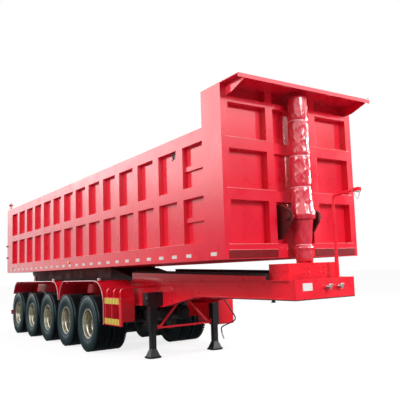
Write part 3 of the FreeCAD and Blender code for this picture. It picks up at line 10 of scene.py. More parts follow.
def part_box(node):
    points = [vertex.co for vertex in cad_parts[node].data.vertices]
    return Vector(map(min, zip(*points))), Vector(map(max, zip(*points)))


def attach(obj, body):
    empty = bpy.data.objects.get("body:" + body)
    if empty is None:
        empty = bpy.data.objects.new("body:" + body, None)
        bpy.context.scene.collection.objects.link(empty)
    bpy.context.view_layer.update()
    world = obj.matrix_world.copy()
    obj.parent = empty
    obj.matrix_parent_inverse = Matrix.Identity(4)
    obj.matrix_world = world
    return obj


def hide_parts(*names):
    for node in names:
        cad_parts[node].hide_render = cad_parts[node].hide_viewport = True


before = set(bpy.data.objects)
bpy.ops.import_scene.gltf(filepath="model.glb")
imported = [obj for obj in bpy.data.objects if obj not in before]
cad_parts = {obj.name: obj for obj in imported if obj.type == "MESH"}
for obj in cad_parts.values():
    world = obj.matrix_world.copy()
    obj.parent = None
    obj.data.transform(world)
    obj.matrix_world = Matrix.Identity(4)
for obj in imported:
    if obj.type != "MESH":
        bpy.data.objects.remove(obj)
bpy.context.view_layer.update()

bl_info = {
    "name": "Dump trailer dressing",
    "version": (1, 0, 0),
    "blender": (4, 5, 0),
    "location": "View3D > Sidebar > Trailer",
    "description": "Paint, tyres, lamps, film and small fittings of a tipping trailer",
    "category": "Object",
}

SIDES = {"left": 1, "right": -1}
AXLES = range(1, 6)
CHASSIS, BODY, GATE = "chassis", "tipping_body", "gate"
LOW, HIGH = 0, 1


def corner(node, end, axis):
    """One face of a CAD node's box, in metres."""
    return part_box(node)[end]["xyz".index(axis)]


def centre_x(node):
    """Middle of a CAD node along the trailer."""
    return (corner(node, LOW, "x") + corner(node, HIGH, "x")) / 2


def axle_x(i):
    """Middle of axle i, counted from the front."""
    return centre_x(f"tyres_right_{i}")


# Lengths in metres that the boxes of the nodes don't give
WALL_SHEET = 0.008
FLANGE_HALF = 0.0675
WEB_HALF = 0.005
TOP_RAIL_LOW = 3.372
HINGE_PIN_Z = 3.710
LEG_SHAFT_Z = 1.06
COUPLING_Z = 1.26

# Places read from the frame
BODY_LOW = corner("floor", LOW, "z")
BODY_FRONT = corner("front_wall", HIGH, "x")
BODY_REAR = corner("side_wall_right", LOW, "x")
BODY_HALF = corner("side_wall_left", HIGH, "y")
WALL_TOP = corner("front_wall", HIGH, "z")
WALL_FACE = corner("front_wall", LOW, "x") + WALL_SHEET
CANOPY_EDGE = corner("canopy", HIGH, "x")
NOSE = corner("crossmembers", HIGH, "x")
DECK = corner("frame_beams", HIGH, "z")
BEAM_LOW = corner("frame_beams", LOW, "z")
BEAM_Y = corner("frame_beams", HIGH, "y") - FLANGE_HALF
WEB_FACE = BEAM_Y + WEB_HALF
CRADLE_TOP = corner("hoist_cradle", HIGH, "z")
HOIST_X = centre_x("hoist_cover")
COVER_TOP = corner("hoist_cover", HIGH, "z")
HUB_Z = corner("tyres_right_1", HIGH, "z") / 2
FENDER_TOP = corner("fenders_left", HIGH, "z")
LEG_X = centre_x("leg_feet")


class BodySettings(bpy.types.PropertyGroup):
    enamel: FloatVectorProperty(
        name="Enamel", description="Colour of the body's enamel", subtype="COLOR", size=3,
        default=(0.80, 0.011, 0.036))
    frame_enamel: FloatVectorProperty(
        name="Frame enamel", description="Colour of the chassis", subtype="COLOR", size=3,
        default=(0.84, 0.012, 0.030))
    dust: FloatProperty(
        name="Dust", description="How much of the enamel's dust shows", subtype="FACTOR",
        default=0.06)
    tape_length: FloatProperty(
        name="Tape length", description="Length of a reflective piece", unit="LENGTH",
        default=0.15)
    tape_height: FloatProperty(
        name="Tape height", description="Height of a reflective piece", unit="LENGTH",
        default=0.05)
    tape_pitch: FloatProperty(
        name="Tape pitch", description="From one reflective piece to the next", unit="LENGTH",
        default=0.43)


class WheelSettings(bpy.types.PropertyGroup):
    blocks: IntProperty(name="Tread blocks", description="Lugs round one tyre", default=60)
    bolts: IntProperty(name="Wheel nuts", description="Nuts on one wheel", default=10)
    rubber: FloatVectorProperty(
        name="Rubber", description="Colour of the tyres' walls", subtype="COLOR", size=3,
        default=(0.010, 0.024, 0.028))
    rim: FloatVectorProperty(
        name="Rim", description="Colour of the rims' dishes", subtype="COLOR", size=3,
        default=(0.40, 0.38, 0.30))


class FittingSettings(bpy.types.PropertyGroup):
    hose_radius: FloatProperty(
        name="Hose radius", description="Radius of an air line", unit="LENGTH", default=0.011)
    film_wrinkle: FloatProperty(
        name="Film wrinkle", description="Depth of the film's creases", unit="LENGTH",
        default=0.012)
    film_colour: FloatVectorProperty(
        name="Film", description="Colour seen through the film", subtype="COLOR", size=3,
        default=(0.62, 0.026, 0.050))
    plate: FloatVectorProperty(
        name="Plate", description="Colour of the guard plates", subtype="COLOR", size=3,
        default=(0.86, 0.66, 0.10))


class StageSettings(bpy.types.PropertyGroup):
    key_power: FloatProperty(
        name="Key light", description="Power of the light from the right", default=2650.0)
    front_power: FloatProperty(
        name="Front light", description="Power of the light from the front", default=1500.0)
    edge_power: FloatProperty(
        name="Edge light", description="Power of the light from the left", default=1500.0)
    sky: FloatProperty(name="Sky", description="Strength of the world's light", default=0.42)
    shine: FloatProperty(
        name="Shine", description="Strength of the sky in reflections", default=3.4)


# Materials

WHITE = (1.0, 1.0, 1.0, 1.0)


def grey(value):
    return (value, value, value)


def shade(colour, factor):
    return tuple(min(1.0, c * factor) for c in colour)


def lifted(colour, share, milk):
    """A colour drawn towards white."""
    return tuple(c * share + milk for c in colour)


class Graph:
    """The nodes of one material, or of the world, while they are built."""

    def __init__(self, tree):
        self.tree = tree

    def fill(self, node, values):
        """Sets a node's inputs, each to a value or to (another node, its output)."""
        for name, value in values.items():
            if isinstance(value, tuple) and isinstance(value[0], bpy.types.Node):
                source, out = value
                self.tree.links.new(source.outputs[out], node.inputs[name])
            else:
                node.inputs[name].default_value = value

    def add(self, kind, values, **traits):
        """A new node: first its traits, then its inputs."""
        node = self.tree.nodes.new(f"ShaderNode{kind}")
        for name, value in traits.items():
            setattr(node, name, value)
        self.fill(node, values)
        return node

    def noise(self, scale, detail, stretch=None, distortion=0.0):
        """Noise on Object coordinates; stretch scales the axes apart."""
        place = (self.add("TexCoord", {}), "Object")
        if stretch:
            place = (self.add("Mapping", {"Vector": place, "Scale": stretch}), "Vector")
        texture = self.add("TexNoise", {"Vector": place, "Scale": scale, "Detail": detail,
                                        "Distortion": distortion})
        return texture, "Fac"

    def ramp(self, source, *stops):
        """Colours or greys along a value."""
        band = self.add("ValToRGB", {"Fac": source})
        elements = band.color_ramp.elements
        while len(elements) < len(stops):
            elements.new(0.5)
        for element, (place, colour) in zip(elements, stops):
            element.position = place
            element.color = (*(grey(colour) if isinstance(colour, float) else colour), 1.0)
        return band, "Color"

    def bump(self, source, strength, distance):
        return self.add("Bump", {"Height": source, "Strength": strength,
                                 "Distance": distance}), "Normal"

    def choose(self, factor, first, second):
        """The second shader in place of the first, by a factor."""
        return self.add("MixShader", {"Fac": factor, 1: (first, 0), 2: (second, 0)})


def recipe(build):
    """Makes a material the first time its name is asked for; build gives its inputs."""
    def fetch(name, *values, **traits):
        material = bpy.data.materials.get(name)
        if material is None:
            material = bpy.data.materials.new(name)
            material.use_nodes = True
            graph = Graph(material.node_tree)
            shader = graph.tree.nodes["Principled BSDF"]
            graph.fill(shader, build(graph, *values, **traits))
        return material
    return fetch


@recipe
def enamel(graph, colour, rough=0.30, coat=0.8, dust=0.06):
    """Sprayed enamel with soft edges, a slight peel, faint dust and colour changes."""
    tone = graph.ramp(graph.noise(0.55, 3.0), (0.30, shade(colour, 0.92)), (0.55, colour),
                      (0.75, shade(colour, 1.06)))
    dusty = graph.ramp(graph.noise(2.2, 6.0, (1.0, 1.0, 0.22)), (0.58, 0.0), (0.86, dust))
    mix = graph.add("Mix", {"Factor": dusty, "A": tone,
                            "B": (*lifted(colour, 0.8, 0.06), 1.0)}, data_type="RGBA")
    peel = graph.bump(graph.noise(42.0, 2.0), 0.02, 0.0006)
    soft = graph.add("Bevel", {"Radius": 0.005}, samples=4)
    graph.fill(peel[0], {"Normal": (soft, "Normal")})
    return {"Base Color": (mix, "Result"), "Normal": peel, "Coat Weight": coat,
            "Roughness": graph.ramp(graph.noise(3.0, 5.0), (0.35, rough * 0.8),
                                    (0.70, rough * 1.5)),
            "Coat Roughness": 0.07, "Coat IOR": 1.6, "Specular IOR Level": 0.2}


@recipe
def plain(graph, colour, rough=0.5, metal=0.0, spread=0.15, scale=6.0, lift=0.1):
    """A matt or metal finish with a little change in tone and grain."""
    patch = graph.noise(scale, 6.0)
    return {"Base Color": graph.ramp(patch, (0.3, shade(colour, 1 - spread)),
                                     (0.7, shade(colour, 1 + spread))),
            "Roughness": graph.ramp(patch, (0.3, rough * 0.85), (0.7, min(1.0, rough * 1.2))),
            "Metallic": metal,
            "Normal": graph.bump(graph.noise(scale * 14, 3.0), lift, 0.002)}


@recipe
def rubber(graph, colour):
    """Tyre rubber: dark, with a dusty bloom."""
    return {"Base Color": graph.ramp(graph.noise(3.5, 7.0), (0.35, shade(colour, 0.7)),
                                     (0.62, colour), (0.85, shade(colour, 1.7))),
            "Roughness": 0.42, "Specular IOR Level": 0.30,
            "Specular Tint": (0.65, 0.95, 1.0, 1.0),
            "Normal": graph.bump(graph.noise(90.0, 3.0), 0.2, 0.002)}


@recipe
def striped_plate(graph, colour):
    """Reflective plate with plain dark marks in a row and a fine cell pattern."""
    place = (graph.add("TexCoord", {}), "Object")
    tilted = graph.add("Mapping", {"Vector": place, "Rotation": (0.0, math.radians(12), 0.0)})
    wave = graph.add("TexWave", {"Vector": (tilted, "Vector"), "Scale": 4.6},
                     wave_type="BANDS", bands_direction="X")
    cells = graph.add("TexVoronoi", {"Vector": place, "Scale": 160.0})
    return {"Base Color": graph.ramp((wave, "Fac"), (0.70, colour), (0.78, (0.16, 0.10, 0.02))),
            "Roughness": 0.35, "Normal": graph.bump((cells, "Distance"), 0.25, 0.001)}


@recipe
def clear_film(graph, colour):
    """Crinkled clear film stretched over red enamel: sharp gloss, and creases painted lighter,
    partly milky film and partly painted highlight haze.
    """
    crease = graph.noise(7.0, 7.0, (1.0, 1.0, 0.35), distortion=1.2)
    small = graph.bump(graph.noise(26.0, 5.0, (1.0, 1.0, 0.5)), 0.35, 0.006)
    graph.fill(small[0], {"Normal": graph.bump(crease, 0.38, 0.02)})
    # Lighter tints on the creases: partly milky film, partly painted highlight haze
    return {"Base Color": graph.ramp(crease, (0.50, colour), (0.66, lifted(colour, 0.9, 0.05)),
                                     (0.80, lifted(colour, 0.75, 0.12))),
            "Roughness": 0.22, "Specular IOR Level": 0.35, "Coat Weight": 0.45,
            "Coat Roughness": 0.05, "Normal": small, "Coat Normal": small}


@recipe
def lens(graph, colour):
    """Moulded lens, glossy, with faint cells."""
    return {"Base Color": graph.ramp(graph.noise(60.0, 2.0), (0.4, shade(colour, 0.85)),
                                     (0.6, colour)),
            "Roughness": 0.12, "Coat Weight": 0.5}


@recipe
def pale_floor(graph):
    """White to the camera, grey to the light that it throws back, and dim in gloss."""
    rays, nodes = graph.add("LightPath", {}), graph.tree.nodes
    seen = (rays, "Is Camera Ray")
    tone = graph.add("Mix", {"Factor": seen, "A": (*grey(0.40), 1.0), "B": (*grey(0.95), 1.0)},
                     data_type="RGBA")
    share = graph.add("Math", {0: seen, 1: 0.72}, operation="MULTIPLY")
    glow, dim = [graph.add("Emission", {"Strength": power}) for power in (1.12, 0.10)]
    lit = graph.choose((share, "Value"), nodes["Principled BSDF"], glow)
    either = graph.choose((rays, "Is Glossy Ray"), lit, dim)
    graph.fill(nodes["Material Output"], {"Surface": (either, 0)})
    return {"Base Color": (tone, "Result"), "Roughness": 0.9}


def body_paint():
    body = bpy.context.scene.trailer_body
    return enamel("body_enamel", tuple(body.enamel), dust=body.dust)


def frame_paint():
    body = bpy.context.scene.trailer_body
    return enamel("frame_enamel", tuple(body.frame_enamel), dust=body.dust)


def black_paint():
    return plain("black_enamel", (0.006, 0.007, 0.009), rough=0.30, spread=0.3, scale=5.0)


def bolt_steel():
    return plain("bolt_steel", (0.45, 0.43, 0.40), rough=0.38, metal=0.9, scale=30.0)


def clear_lens():
    return lens("clear_lens", (0.86, 0.70, 0.66))


def amber_lens():
    return lens("amber_lens", (0.85, 0.30, 0.02))


def red_lens():
    return lens("tail_red", (0.55, 0.01, 0.01))


# Mesh helpers

def put(name, data):
    """A new object in the scene."""
    thing = bpy.data.objects.new(name, data)
    bpy.context.scene.collection.objects.link(thing)
    return thing


def piece(name, mesh, body, materials, smooth_angle=None, outwards=False):
    """A finished bmesh as an object that rides on a body; outwards mends its normals."""
    data = bpy.data.meshes.new(name)
    if outwards:
        bmesh.ops.recalc_face_normals(mesh, faces=mesh.faces)
    mesh.normal_update()
    mesh.to_mesh(data)
    mesh.free()
    thing = put(name, data)
    for material in materials:
        data.materials.append(material)
    if smooth_angle is not None:
        data.shade_smooth()
        data.set_sharp_from_angle(angle=math.radians(smooth_angle))
    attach(thing, body)
    return thing


def mark(verts, material):
    """Gives the faces on some vertices their material slot."""
    for face in {f for v in verts for f in v.link_faces}:
        face.material_index = material


def across(side, near, far):
    """Two distances from the trailer's middle, as the low and the high y on one side."""
    return sorted((side * near, side * far))


def block(mesh, low, high, bevel=0.0, segments=2, material=0):
    """A box between two corners, its edges rounded."""
    low, high = Vector(low), Vector(high)
    made = bmesh.ops.create_cube(mesh, size=1.0)["verts"]
    bmesh.ops.scale(mesh, vec=high - low, verts=made)
    bmesh.ops.translate(mesh, vec=(low + high) / 2, verts=made)
    mark(made, material)
    if bevel:
        edges = list({e for v in made for e in v.link_edges})
        bmesh.ops.bevel(mesh, geom=edges, offset=bevel, segments=segments, profile=0.5,
                        affect="EDGES", material=-1)


def turned(mesh, profile, steps=48, closed=False, material=0):
    """Spins a (radius, height) outline round Z and returns its vertices."""
    there = set(mesh.verts)
    verts = [mesh.verts.new((radius, 0.0, height)) for radius, height in profile]
    edges = [mesh.edges.new(pair) for pair in zip(verts, verts[1:])]
    if closed:
        edges.append(mesh.edges.new((verts[-1], verts[0])))
    bmesh.ops.spin(mesh, geom=verts + edges, cent=(0, 0, 0), axis=(0, 0, 1),
                   angle=math.tau, steps=steps, use_merge=True)
    made = [v for v in mesh.verts if v not in there]
    bmesh.ops.remove_doubles(mesh, verts=made, dist=1e-5)
    made = [v for v in mesh.verts if v not in there]
    mark(made, material)
    return made


def turned_at(mesh, profile, place, quarters, axis="Y", **shape):
    """A turned form, swung by quarter turns round X or Y and moved to its place."""
    made = turned(mesh, profile, **shape)
    bmesh.ops.rotate(mesh, verts=made, cent=(0, 0, 0),
                     matrix=Matrix.Rotation(quarters * math.pi / 2, 3, axis))
    bmesh.ops.translate(mesh, verts=made, vec=place)


def rod(mesh, start, end, radius, sides=16, material=0):
    """A closed round bar between two points."""
    start, end = Vector(start), Vector(end)
    run = end - start
    turn = run.to_track_quat("Z", "Y").to_matrix().to_4x4()
    place = Matrix.Translation((start + end) / 2) @ turn
    made = bmesh.ops.create_cone(mesh, cap_ends=True, segments=sides, radius1=radius,
                                 radius2=radius, depth=run.length, matrix=place)["verts"]
    mark(made, material)


def nut(mesh, place, axis, radius, depth, material=0):
    """A hexagon nut with a stud end."""
    place, axis = Vector(place), Vector(axis)
    rod(mesh, place, place + axis * depth, radius, 6, material)
    rod(mesh, place + axis * depth, place + axis * depth * 1.6, radius * 0.5, 8, material)


def tube(name, points, radius, material, kind="NURBS", resolution=4):
    """A tube on the chassis through a few points, smooth unless its kind is POLY."""
    curve = bpy.data.curves.new(name, "CURVE")
    curve.dimensions = "3D"
    curve.bevel_depth = radius
    curve.bevel_resolution = resolution
    curve.use_fill_caps = True
    curve.materials.append(material)
    spline = curve.splines.new(kind)
    spline.points.add(len(points) - 1)
    for point, place in zip(spline.points, points):
        point.co = (*place, 1.0)
    if kind == "NURBS":
        spline.order_u = 3
        spline.use_endpoint_u = True
        spline.resolution_u = 8
    thing = put(name, curve)
    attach(thing, CHASSIS)
    return thing


def rounded(points, bends, steps=10):
    """Straight runs joined by arcs of the given radii."""
    run = [points[0]]
    for before, here, after, radius in zip(points, points[1:], points[2:], bends):
        back, ahead = (before - here).normalized(), (after - here).normalized()
        half = back.angle(ahead) / 2
        reach = radius / math.tan(half)
        centre = here + (back + ahead).normalized() * (radius / math.sin(half))
        start, end = here + back * reach - centre, here + ahead * reach - centre
        for i in range(steps + 1):
            run.append(centre + start.slerp(end, i / steps).normalized() * radius)
    return run + [points[-1]]


class Finishes(bpy.types.Operator):
    """Paints the CAD nodes"""
    bl_idname = "trailer.finishes"
    bl_label = "Finishes"

    def execute(self, context):
        # Dark red enamel as painted shade: the sills under the body and the hoist bracket get
        # it for the shade they sit in
        dark = enamel("sill_enamel", (0.10, 0.014, 0.014), rough=0.55, coat=0.05)
        chrome = plain("hoist_chrome", (0.62, 0.62, 0.64), rough=0.12, metal=1.0, scale=20.0)
        strips = plain("strip_rubber", (0.022, 0.014, 0.013), rough=0.75)
        yellow = striped_plate("plate_yellow", tuple(context.scene.trailer_fittings.plate))
        finishes = (
            (body_paint(), "side_wall_left side_wall_right front_wall canopy tailgate floor"),
            (frame_paint(), "frame_beams crossmembers hoist_cradle leg_brace toolbox "
                            "side_guard fenders_left fenders_right fender_stays rear_bumper "
                            "tip_hinges hose_mast hoist_cover hoist_base"),
            (dark, "body_sills hoist_bracket"),
            (black_paint(), "leg_tubes leg_feet leg_crank axles leaf_springs spring_clamps "
                            "spring_hangers air_tanks coupler_plate"),
            (chrome, "hoist_stage_2 hoist_stage_3 hoist_stage_4 hoist_stage_5"),
            (strips, "buffer_strips"),
            (yellow, "guard_plates"),
            (red_lens(), "tail_lamps"),
            (bolt_steel(), "air_couplings"),
        )
        for finish, nodes in finishes:
            for node in nodes.split():
                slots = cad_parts[node].data.materials
                slots.clear()
                slots.append(finish)
        return {"FINISHED"}


class Wheels(bpy.types.Operator):
    """Tyres with tread and dished rims with nuts, one pair to each wheel body"""
    bl_idname = "trailer.wheels"
    bl_label = "Wheels"

    TYRE_OUT = 0.5615
    TYRE_HALF = 0.150
    TWINS = (-0.170, 0.170)
    NUT_RING = 0.1420
    HUB_RING = 0.062
    BEAD = 0.2860
    GROOVES = (0.030, 0.078)
    GROOVE_DEPTH = 0.012
    TREAD_DEPTH = 0.030
    HUB_NUTS = 8

    def tyre(self, mesh, middle):
        """A tyre's shell with rounded shoulders and bulged walls, axis on Z."""
        out, half, bead = self.TYRE_OUT, self.TYRE_HALF, self.BEAD
        side = [(out - 0.004, half - 0.052), (out - 0.014, half - 0.030),
                (out - 0.036, half - 0.012), (out - 0.075, half - 0.006),
                (out - 0.125, half - 0.0005), (out - 0.175, half - 0.003),
                (bead + 0.075, half - 0.010), (bead + 0.040, half - 0.018),
                (bead + 0.030, half - 0.017), (bead + 0.018, half - 0.024),
                (bead + 0.002, half - 0.034)]
        ribs = [(out, 0.0)]
        deep = out - self.GROOVE_DEPTH
        for groove in self.GROOVES:
            ribs += [(out, groove - 0.007), (deep, groove - 0.004), (deep, groove + 0.004),
                     (out, groove + 0.007)]
        upper = ribs + side
        lower = [(r, -h) for r, h in upper[:0:-1]]
        profile = [(r, h + middle) for r, h in lower + upper]
        turned(mesh, profile, steps=72, closed=True)
        for face in mesh.faces:
            if face.calc_center_median().xy.length > out - self.TREAD_DEPTH:
                face.material_index = 1

    def lugs(self, mesh, middle, count):
        """Shoulder lugs standing a little proud between the shoulder grooves."""
        out, half = self.TYRE_OUT, self.TYRE_HALF
        for i in range(count):
            spin = Matrix.Rotation(math.tau * i / count, 3, "Z")
            for side in (-1, 1):
                made = bmesh.ops.create_cube(mesh, size=1.0)["verts"]
                bmesh.ops.scale(mesh, vec=(0.022, 0.036, 0.052), verts=made)
                bmesh.ops.rotate(mesh, verts=made, matrix=Matrix.Rotation(0.30 * side, 3, "Y"))
                bmesh.ops.translate(mesh, verts=made,
                                    vec=(out - 0.0165, 0.0, middle + side * (half - 0.028)))
                bmesh.ops.rotate(mesh, verts=made, matrix=spin)

    def nut_ring(self, mesh, count, shift, ring, height, radius, depth):
        """Nuts on a circle, turned by a share of the step between two."""
        for i in range(count):
            turn = math.tau * (i + shift) / count
            place = (ring * math.cos(turn), ring * math.sin(turn), height)
            nut(mesh, place, (0, 0, 1), radius, depth, material=1)

    def rim(self, mesh, bolts):
        """Outer and inner rim, disc, hub and nuts; z is 0 at the twin wheel's middle."""
        lip = [(0.2800, 0.284), (0.2825, 0.293), (0.2905, 0.295), (0.2960, 0.288),
               (0.2950, 0.278), (0.2850, 0.272)]
        turned(mesh, lip, steps=64, material=2)
        dish = [(0.2800, 0.284), (0.2760, 0.262), (0.2700, 0.226), (0.2560, 0.214),
                (0.2500, 0.170), (0.2470, 0.128), (0.2320, 0.118), (0.2260, 0.064),
                (0.2060, 0.046), (0.1800, 0.034), (0.1180, 0.031), (0.1120, 0.040),
                (0.1090, 0.150), (0.1010, 0.178), (0.0860, 0.186), (0.0820, 0.196),
                (0.0300, 0.199), (0.0, 0.199)]
        turned(mesh, dish, steps=64)
        back = [(0.2850, 0.286), (0.2845, -0.286), (0.2740, -0.290), (0.2660, -0.255),
                (0.2080, -0.250), (0.2060, -0.305), (0.0470, -0.309)]
        turned(mesh, back, steps=64)
        self.nut_ring(mesh, bolts, 0.5, self.NUT_RING, 0.032, 0.017, 0.024)
        self.nut_ring(mesh, self.HUB_NUTS, 0, self.HUB_RING, 0.197, 0.009, 0.007)

    def execute(self, context):
        wheels = context.scene.trailer_wheels
        black = rubber("tyre_wall", tuple(wheels.rubber))
        dark = rubber("tyre_tread", (0.005, 0.006, 0.008))
        cream = plain("rim_dish", tuple(wheels.rim), rough=0.24, metal=0.8, spread=0.06,
                      lift=0.02)
        # The lip's lighter paint is a painted highlight: the bright ring on the rim's edge
        bright = plain("rim_lip", (0.62, 0.58, 0.44), rough=0.30, spread=0.08, scale=14.0)
        tyres, rims = bmesh.new(), bmesh.new()
        for middle in self.TWINS:
            self.tyre(tyres, middle)
        bmesh.ops.recalc_face_normals(tyres, faces=tyres.faces)
        for middle in self.TWINS:
            self.lugs(tyres, middle, wheels.blocks)
        self.rim(rims, wheels.bolts)
        bmesh.ops.remove_doubles(rims, verts=rims.verts, dist=1e-5)
        kinds = ((tyres, "tyre_pair", "tyres", "tyre_rubber", [black, dark]),
                 (rims, "rim_pair", "wheel", "rim_enamel", [cream, bolt_steel(), bright]))
        for name, side in SIDES.items():
            turn = Matrix.Rotation(-side * math.pi / 2, 4, "X")
            for i in AXLES:
                low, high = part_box(f"tyres_{name}_{i}")
                place = Matrix.Translation((low + high) / 2) @ turn
                for source, label, node, slot, finish in kinds:
                    mesh = source.copy()
                    bmesh.ops.transform(mesh, matrix=place, verts=mesh.verts)
                    made = piece(f"{label}_{name}_{i}", mesh, f"{name}_wheel_{i}",
                                 finish, 38)
                    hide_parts(f"{node}_{name}_{i}")
        tyres.free()
        rims.free()
        return {"FINISHED"}


class Film(bpy.types.Operator):
    """Crinkled clear film round the hoist's cover and its base tube, with its ties"""
    bl_idname = "trailer.film"
    bl_label = "Protective film"

    STEPS = 112
    ROW = 0.018
    FOLDS = 7
    TIE_REACH = 0.05
    LENGTH = 1.787
    TIES_BELOW = (0.36, 0.875, 1.325)
    WAIST_RISE = 0.225

    def stations(self, outline):
        """Adds rows between the stations, so that creases have points to move."""
        rows = []
        for (r0, h0), (r1, h1) in zip(outline, outline[1:]):
            count = max(1, round((h0 - h1) / self.ROW))
            rows += [(r0 + (r1 - r0) * i / count, h0 + (h1 - h0) * i / count)
                     for i in range(count)]
        return rows + [outline[-1]]

    def sleeve(self, name, outline, ties, body, seed, wrinkle):
        """A loose sleeve round the hoist, drawn in at its ties."""
        draw = random.Random(seed)
        mesh = bmesh.new()
        turned(mesh, self.stations(outline), steps=self.STEPS)
        folds = [(draw.randint(2, 7), draw.uniform(0, math.tau), draw.uniform(-16.0, 16.0),
                  draw.uniform(0.4, 1.0)) for _ in range(self.FOLDS)]
        for vertex in mesh.verts:
            x, y, z = vertex.co
            turn = math.atan2(y, x)
            crease = sum(size * (1 - abs(math.sin(count * turn / 2 + start + lean * z))) ** 3
                         for count, start, lean, size in folds)
            slack = min([1.0] + [abs(z - tie) / self.TIE_REACH for tie in ties])
            vertex.co += Vector((x, y, 0)).normalized() * (wrinkle * 0.45 * crease * slack)
        bmesh.ops.translate(mesh, verts=mesh.verts, vec=(HOIST_X, 0, 0))
        colour = tuple(bpy.context.scene.trailer_fittings.film_colour)
        piece(name, mesh, body, [clear_film("clear_film", colour)], 60, True)

    def bands(self, name, radius, heights, body):
        """Tape ties drawn tight round the sleeve."""
        mesh = bmesh.new()
        for z in heights:
            ring = [(radius, z - 0.006), (radius + 0.003, z - 0.006),
                    (radius + 0.003, z + 0.006), (radius, z + 0.006)]
            made = turned(mesh, ring, steps=64, closed=True)
            bmesh.ops.translate(mesh, verts=made, vec=(HOIST_X, 0, 0))
        tape = plain("tie_tape", (0.74, 0.34, 0.38), rough=0.35, spread=0.2, scale=12.0)
        piece(name, mesh, body, [tape], 40, True)

    def execute(self, context):
        wrinkle = context.scene.trailer_fittings.film_wrinkle
        low = COVER_TOP - self.LENGTH
        ties = [COVER_TOP - below for below in self.TIES_BELOW]
        upper = [(0.060, COVER_TOP + 0.010), (0.132, COVER_TOP + 0.008),
                 (0.1440, COVER_TOP - 0.012)]
        for tie in ties:
            upper += [(0.1460, tie + self.TIE_REACH), (0.1425, tie),
                      (0.1460, tie - self.TIE_REACH)]
        upper += [(0.1480, low + 0.36), (0.1540, low + 0.22), (0.1720, low + 0.12),
                  (0.1860, low + 0.070), (0.1780, low + 0.020), (0.1700, low + 0.004)]
        self.sleeve("film_cover", upper, ties, "hoist_head", 7, wrinkle)
        self.bands("film_cover_ties", 0.1430, ties, "hoist_head")
        flange = CRADLE_TOP + self.WAIST_RISE
        waist = flange + 0.030
        lower = [(0.1500, low - 0.004), (0.1380, low - 0.06), (0.1180, low - 0.27),
                 (0.1120, waist), (0.1400, flange), (0.1400, flange - 0.030),
                 (0.1270, flange - 0.050), (0.1270, CRADLE_TOP + 0.090),
                 (0.1230, CRADLE_TOP + 0.055)]
        self.sleeve("film_base", lower, [waist], "hoist_foot", 11, wrinkle * 0.6)
        self.bands("film_base_tie", 0.1125, [waist], "hoist_foot")
        return {"FINISHED"}


class Strips(bpy.types.Operator):
    """Painted shade as a dark foot band on the front wall, and painted highlights as bright
    edges of its rails and the sides' rails
    """
    bl_idname = "trailer.strips"
    bl_label = "Painted strips"

    SINK = 0.0002
    WELL_HALF = 0.352
    RAIL_EDGES = (0.118, 0.196, 0.952, 1.657)

    def execute(self, context):
        back = BODY_FRONT - self.SINK
        spans = [across(side, self.WELL_HALF, BODY_HALF - 0.060) for side in SIDES.values()]
        band, front, sides = bmesh.new(), bmesh.new(), bmesh.new()
        for near, far in spans:
            block(band, (back, near, BODY_LOW + 0.012),
                  (BODY_FRONT + 0.0040, far, BODY_LOW + 0.118), 0.0012, 1)
            for low in self.RAIL_EDGES:
                block(front, (back, near, BODY_LOW + low),
                      (BODY_FRONT + 0.006, far, BODY_LOW + low + 0.008), 0.002)
        for side in SIDES.values():
            near, far = across(side, BODY_HALF - self.SINK, BODY_HALF + 0.006)
            block(sides, (BODY_REAR + 0.17, near, BODY_LOW + 0.246),
                  (BODY_FRONT - 1.07, far, BODY_LOW + 0.256), 0.002)
        # Painted shade: dark enamel for the foot band, where the front wall's foot lies in
        # shade
        deep = enamel("foot_enamel", (0.20, 0.004, 0.008), rough=0.45, coat=0.2)
        # Painted highlights: light paint along the top edges of the front wall's rails and the
        # side walls' rails
        light = plain("ledge_paint", (0.84, 0.16, 0.18), rough=0.3, spread=0.1, scale=9.0)
        piece("front_foot_shade_band", band, BODY, [deep])
        piece("front_ledge_highlight", front, BODY, [light], 40)
        piece("side_ledge_highlight", sides, BODY, [light], 40)
        return {"FINISHED"}


class Tape(bpy.types.Operator):
    """Row of reflective pieces along the foot of both side walls"""
    bl_idname = "trailer.tape"
    bl_label = "Reflective tape"

    FIRST_STEP = 1.56
    THICKNESS = 0.002

    def execute(self, context):
        body = context.scene.trailer_body
        mesh = bmesh.new()
        low = BODY_LOW + 0.055
        for side in SIDES.values():
            near, far = across(side, BODY_HALF, BODY_HALF + self.THICKNESS)
            x = BODY_FRONT - 0.205
            step = self.FIRST_STEP * body.tape_pitch
            while x > BODY_REAR + 0.1:
                block(mesh, (x - body.tape_length, near, low),
                      (x, far, low + body.tape_height), 0.0006, 1)
                x -= step
                step = body.tape_pitch
        white = plain("reflective_white", (0.72, 0.66, 0.63), rough=0.25, spread=0.10,
                      scale=90.0)
        piece("reflective_tape", mesh, BODY, [white])
        return {"FINISHED"}


class BodyLamps(bpy.types.Operator):
    """Amber side markers and the clear lamps under the canopy's edge"""
    bl_idname = "trailer.body_lamps"
    bl_label = "Body lamps"

    MARKERS_BACK = (6.18, 11.11)
    CANOPY_Y = (-0.375, 0.465)

    def execute(self, context):
        mesh = bmesh.new()
        for side in SIDES.values():
            near, far = across(side, BODY_HALF, BODY_HALF + 0.018)
            for x in [BODY_FRONT - back for back in self.MARKERS_BACK]:
                block(mesh, (x - 0.055, near, BODY_LOW + 0.115),
                      (x + 0.055, far, BODY_LOW + 0.160), 0.006, 3)
        piece("side_markers", mesh, BODY, [amber_lens()], 40)
        mesh = bmesh.new()
        x, top = CANOPY_EDGE - 0.050, WALL_TOP - 0.0102
        for y in self.CANOPY_Y:
            block(mesh, (x - 0.030, y - 0.055, top - 0.024), (x + 0.020, y + 0.055, top),
                  0.007, 3)
        piece("canopy_lamps", mesh, BODY, [clear_lens()], 40)
        return {"FINISHED"}


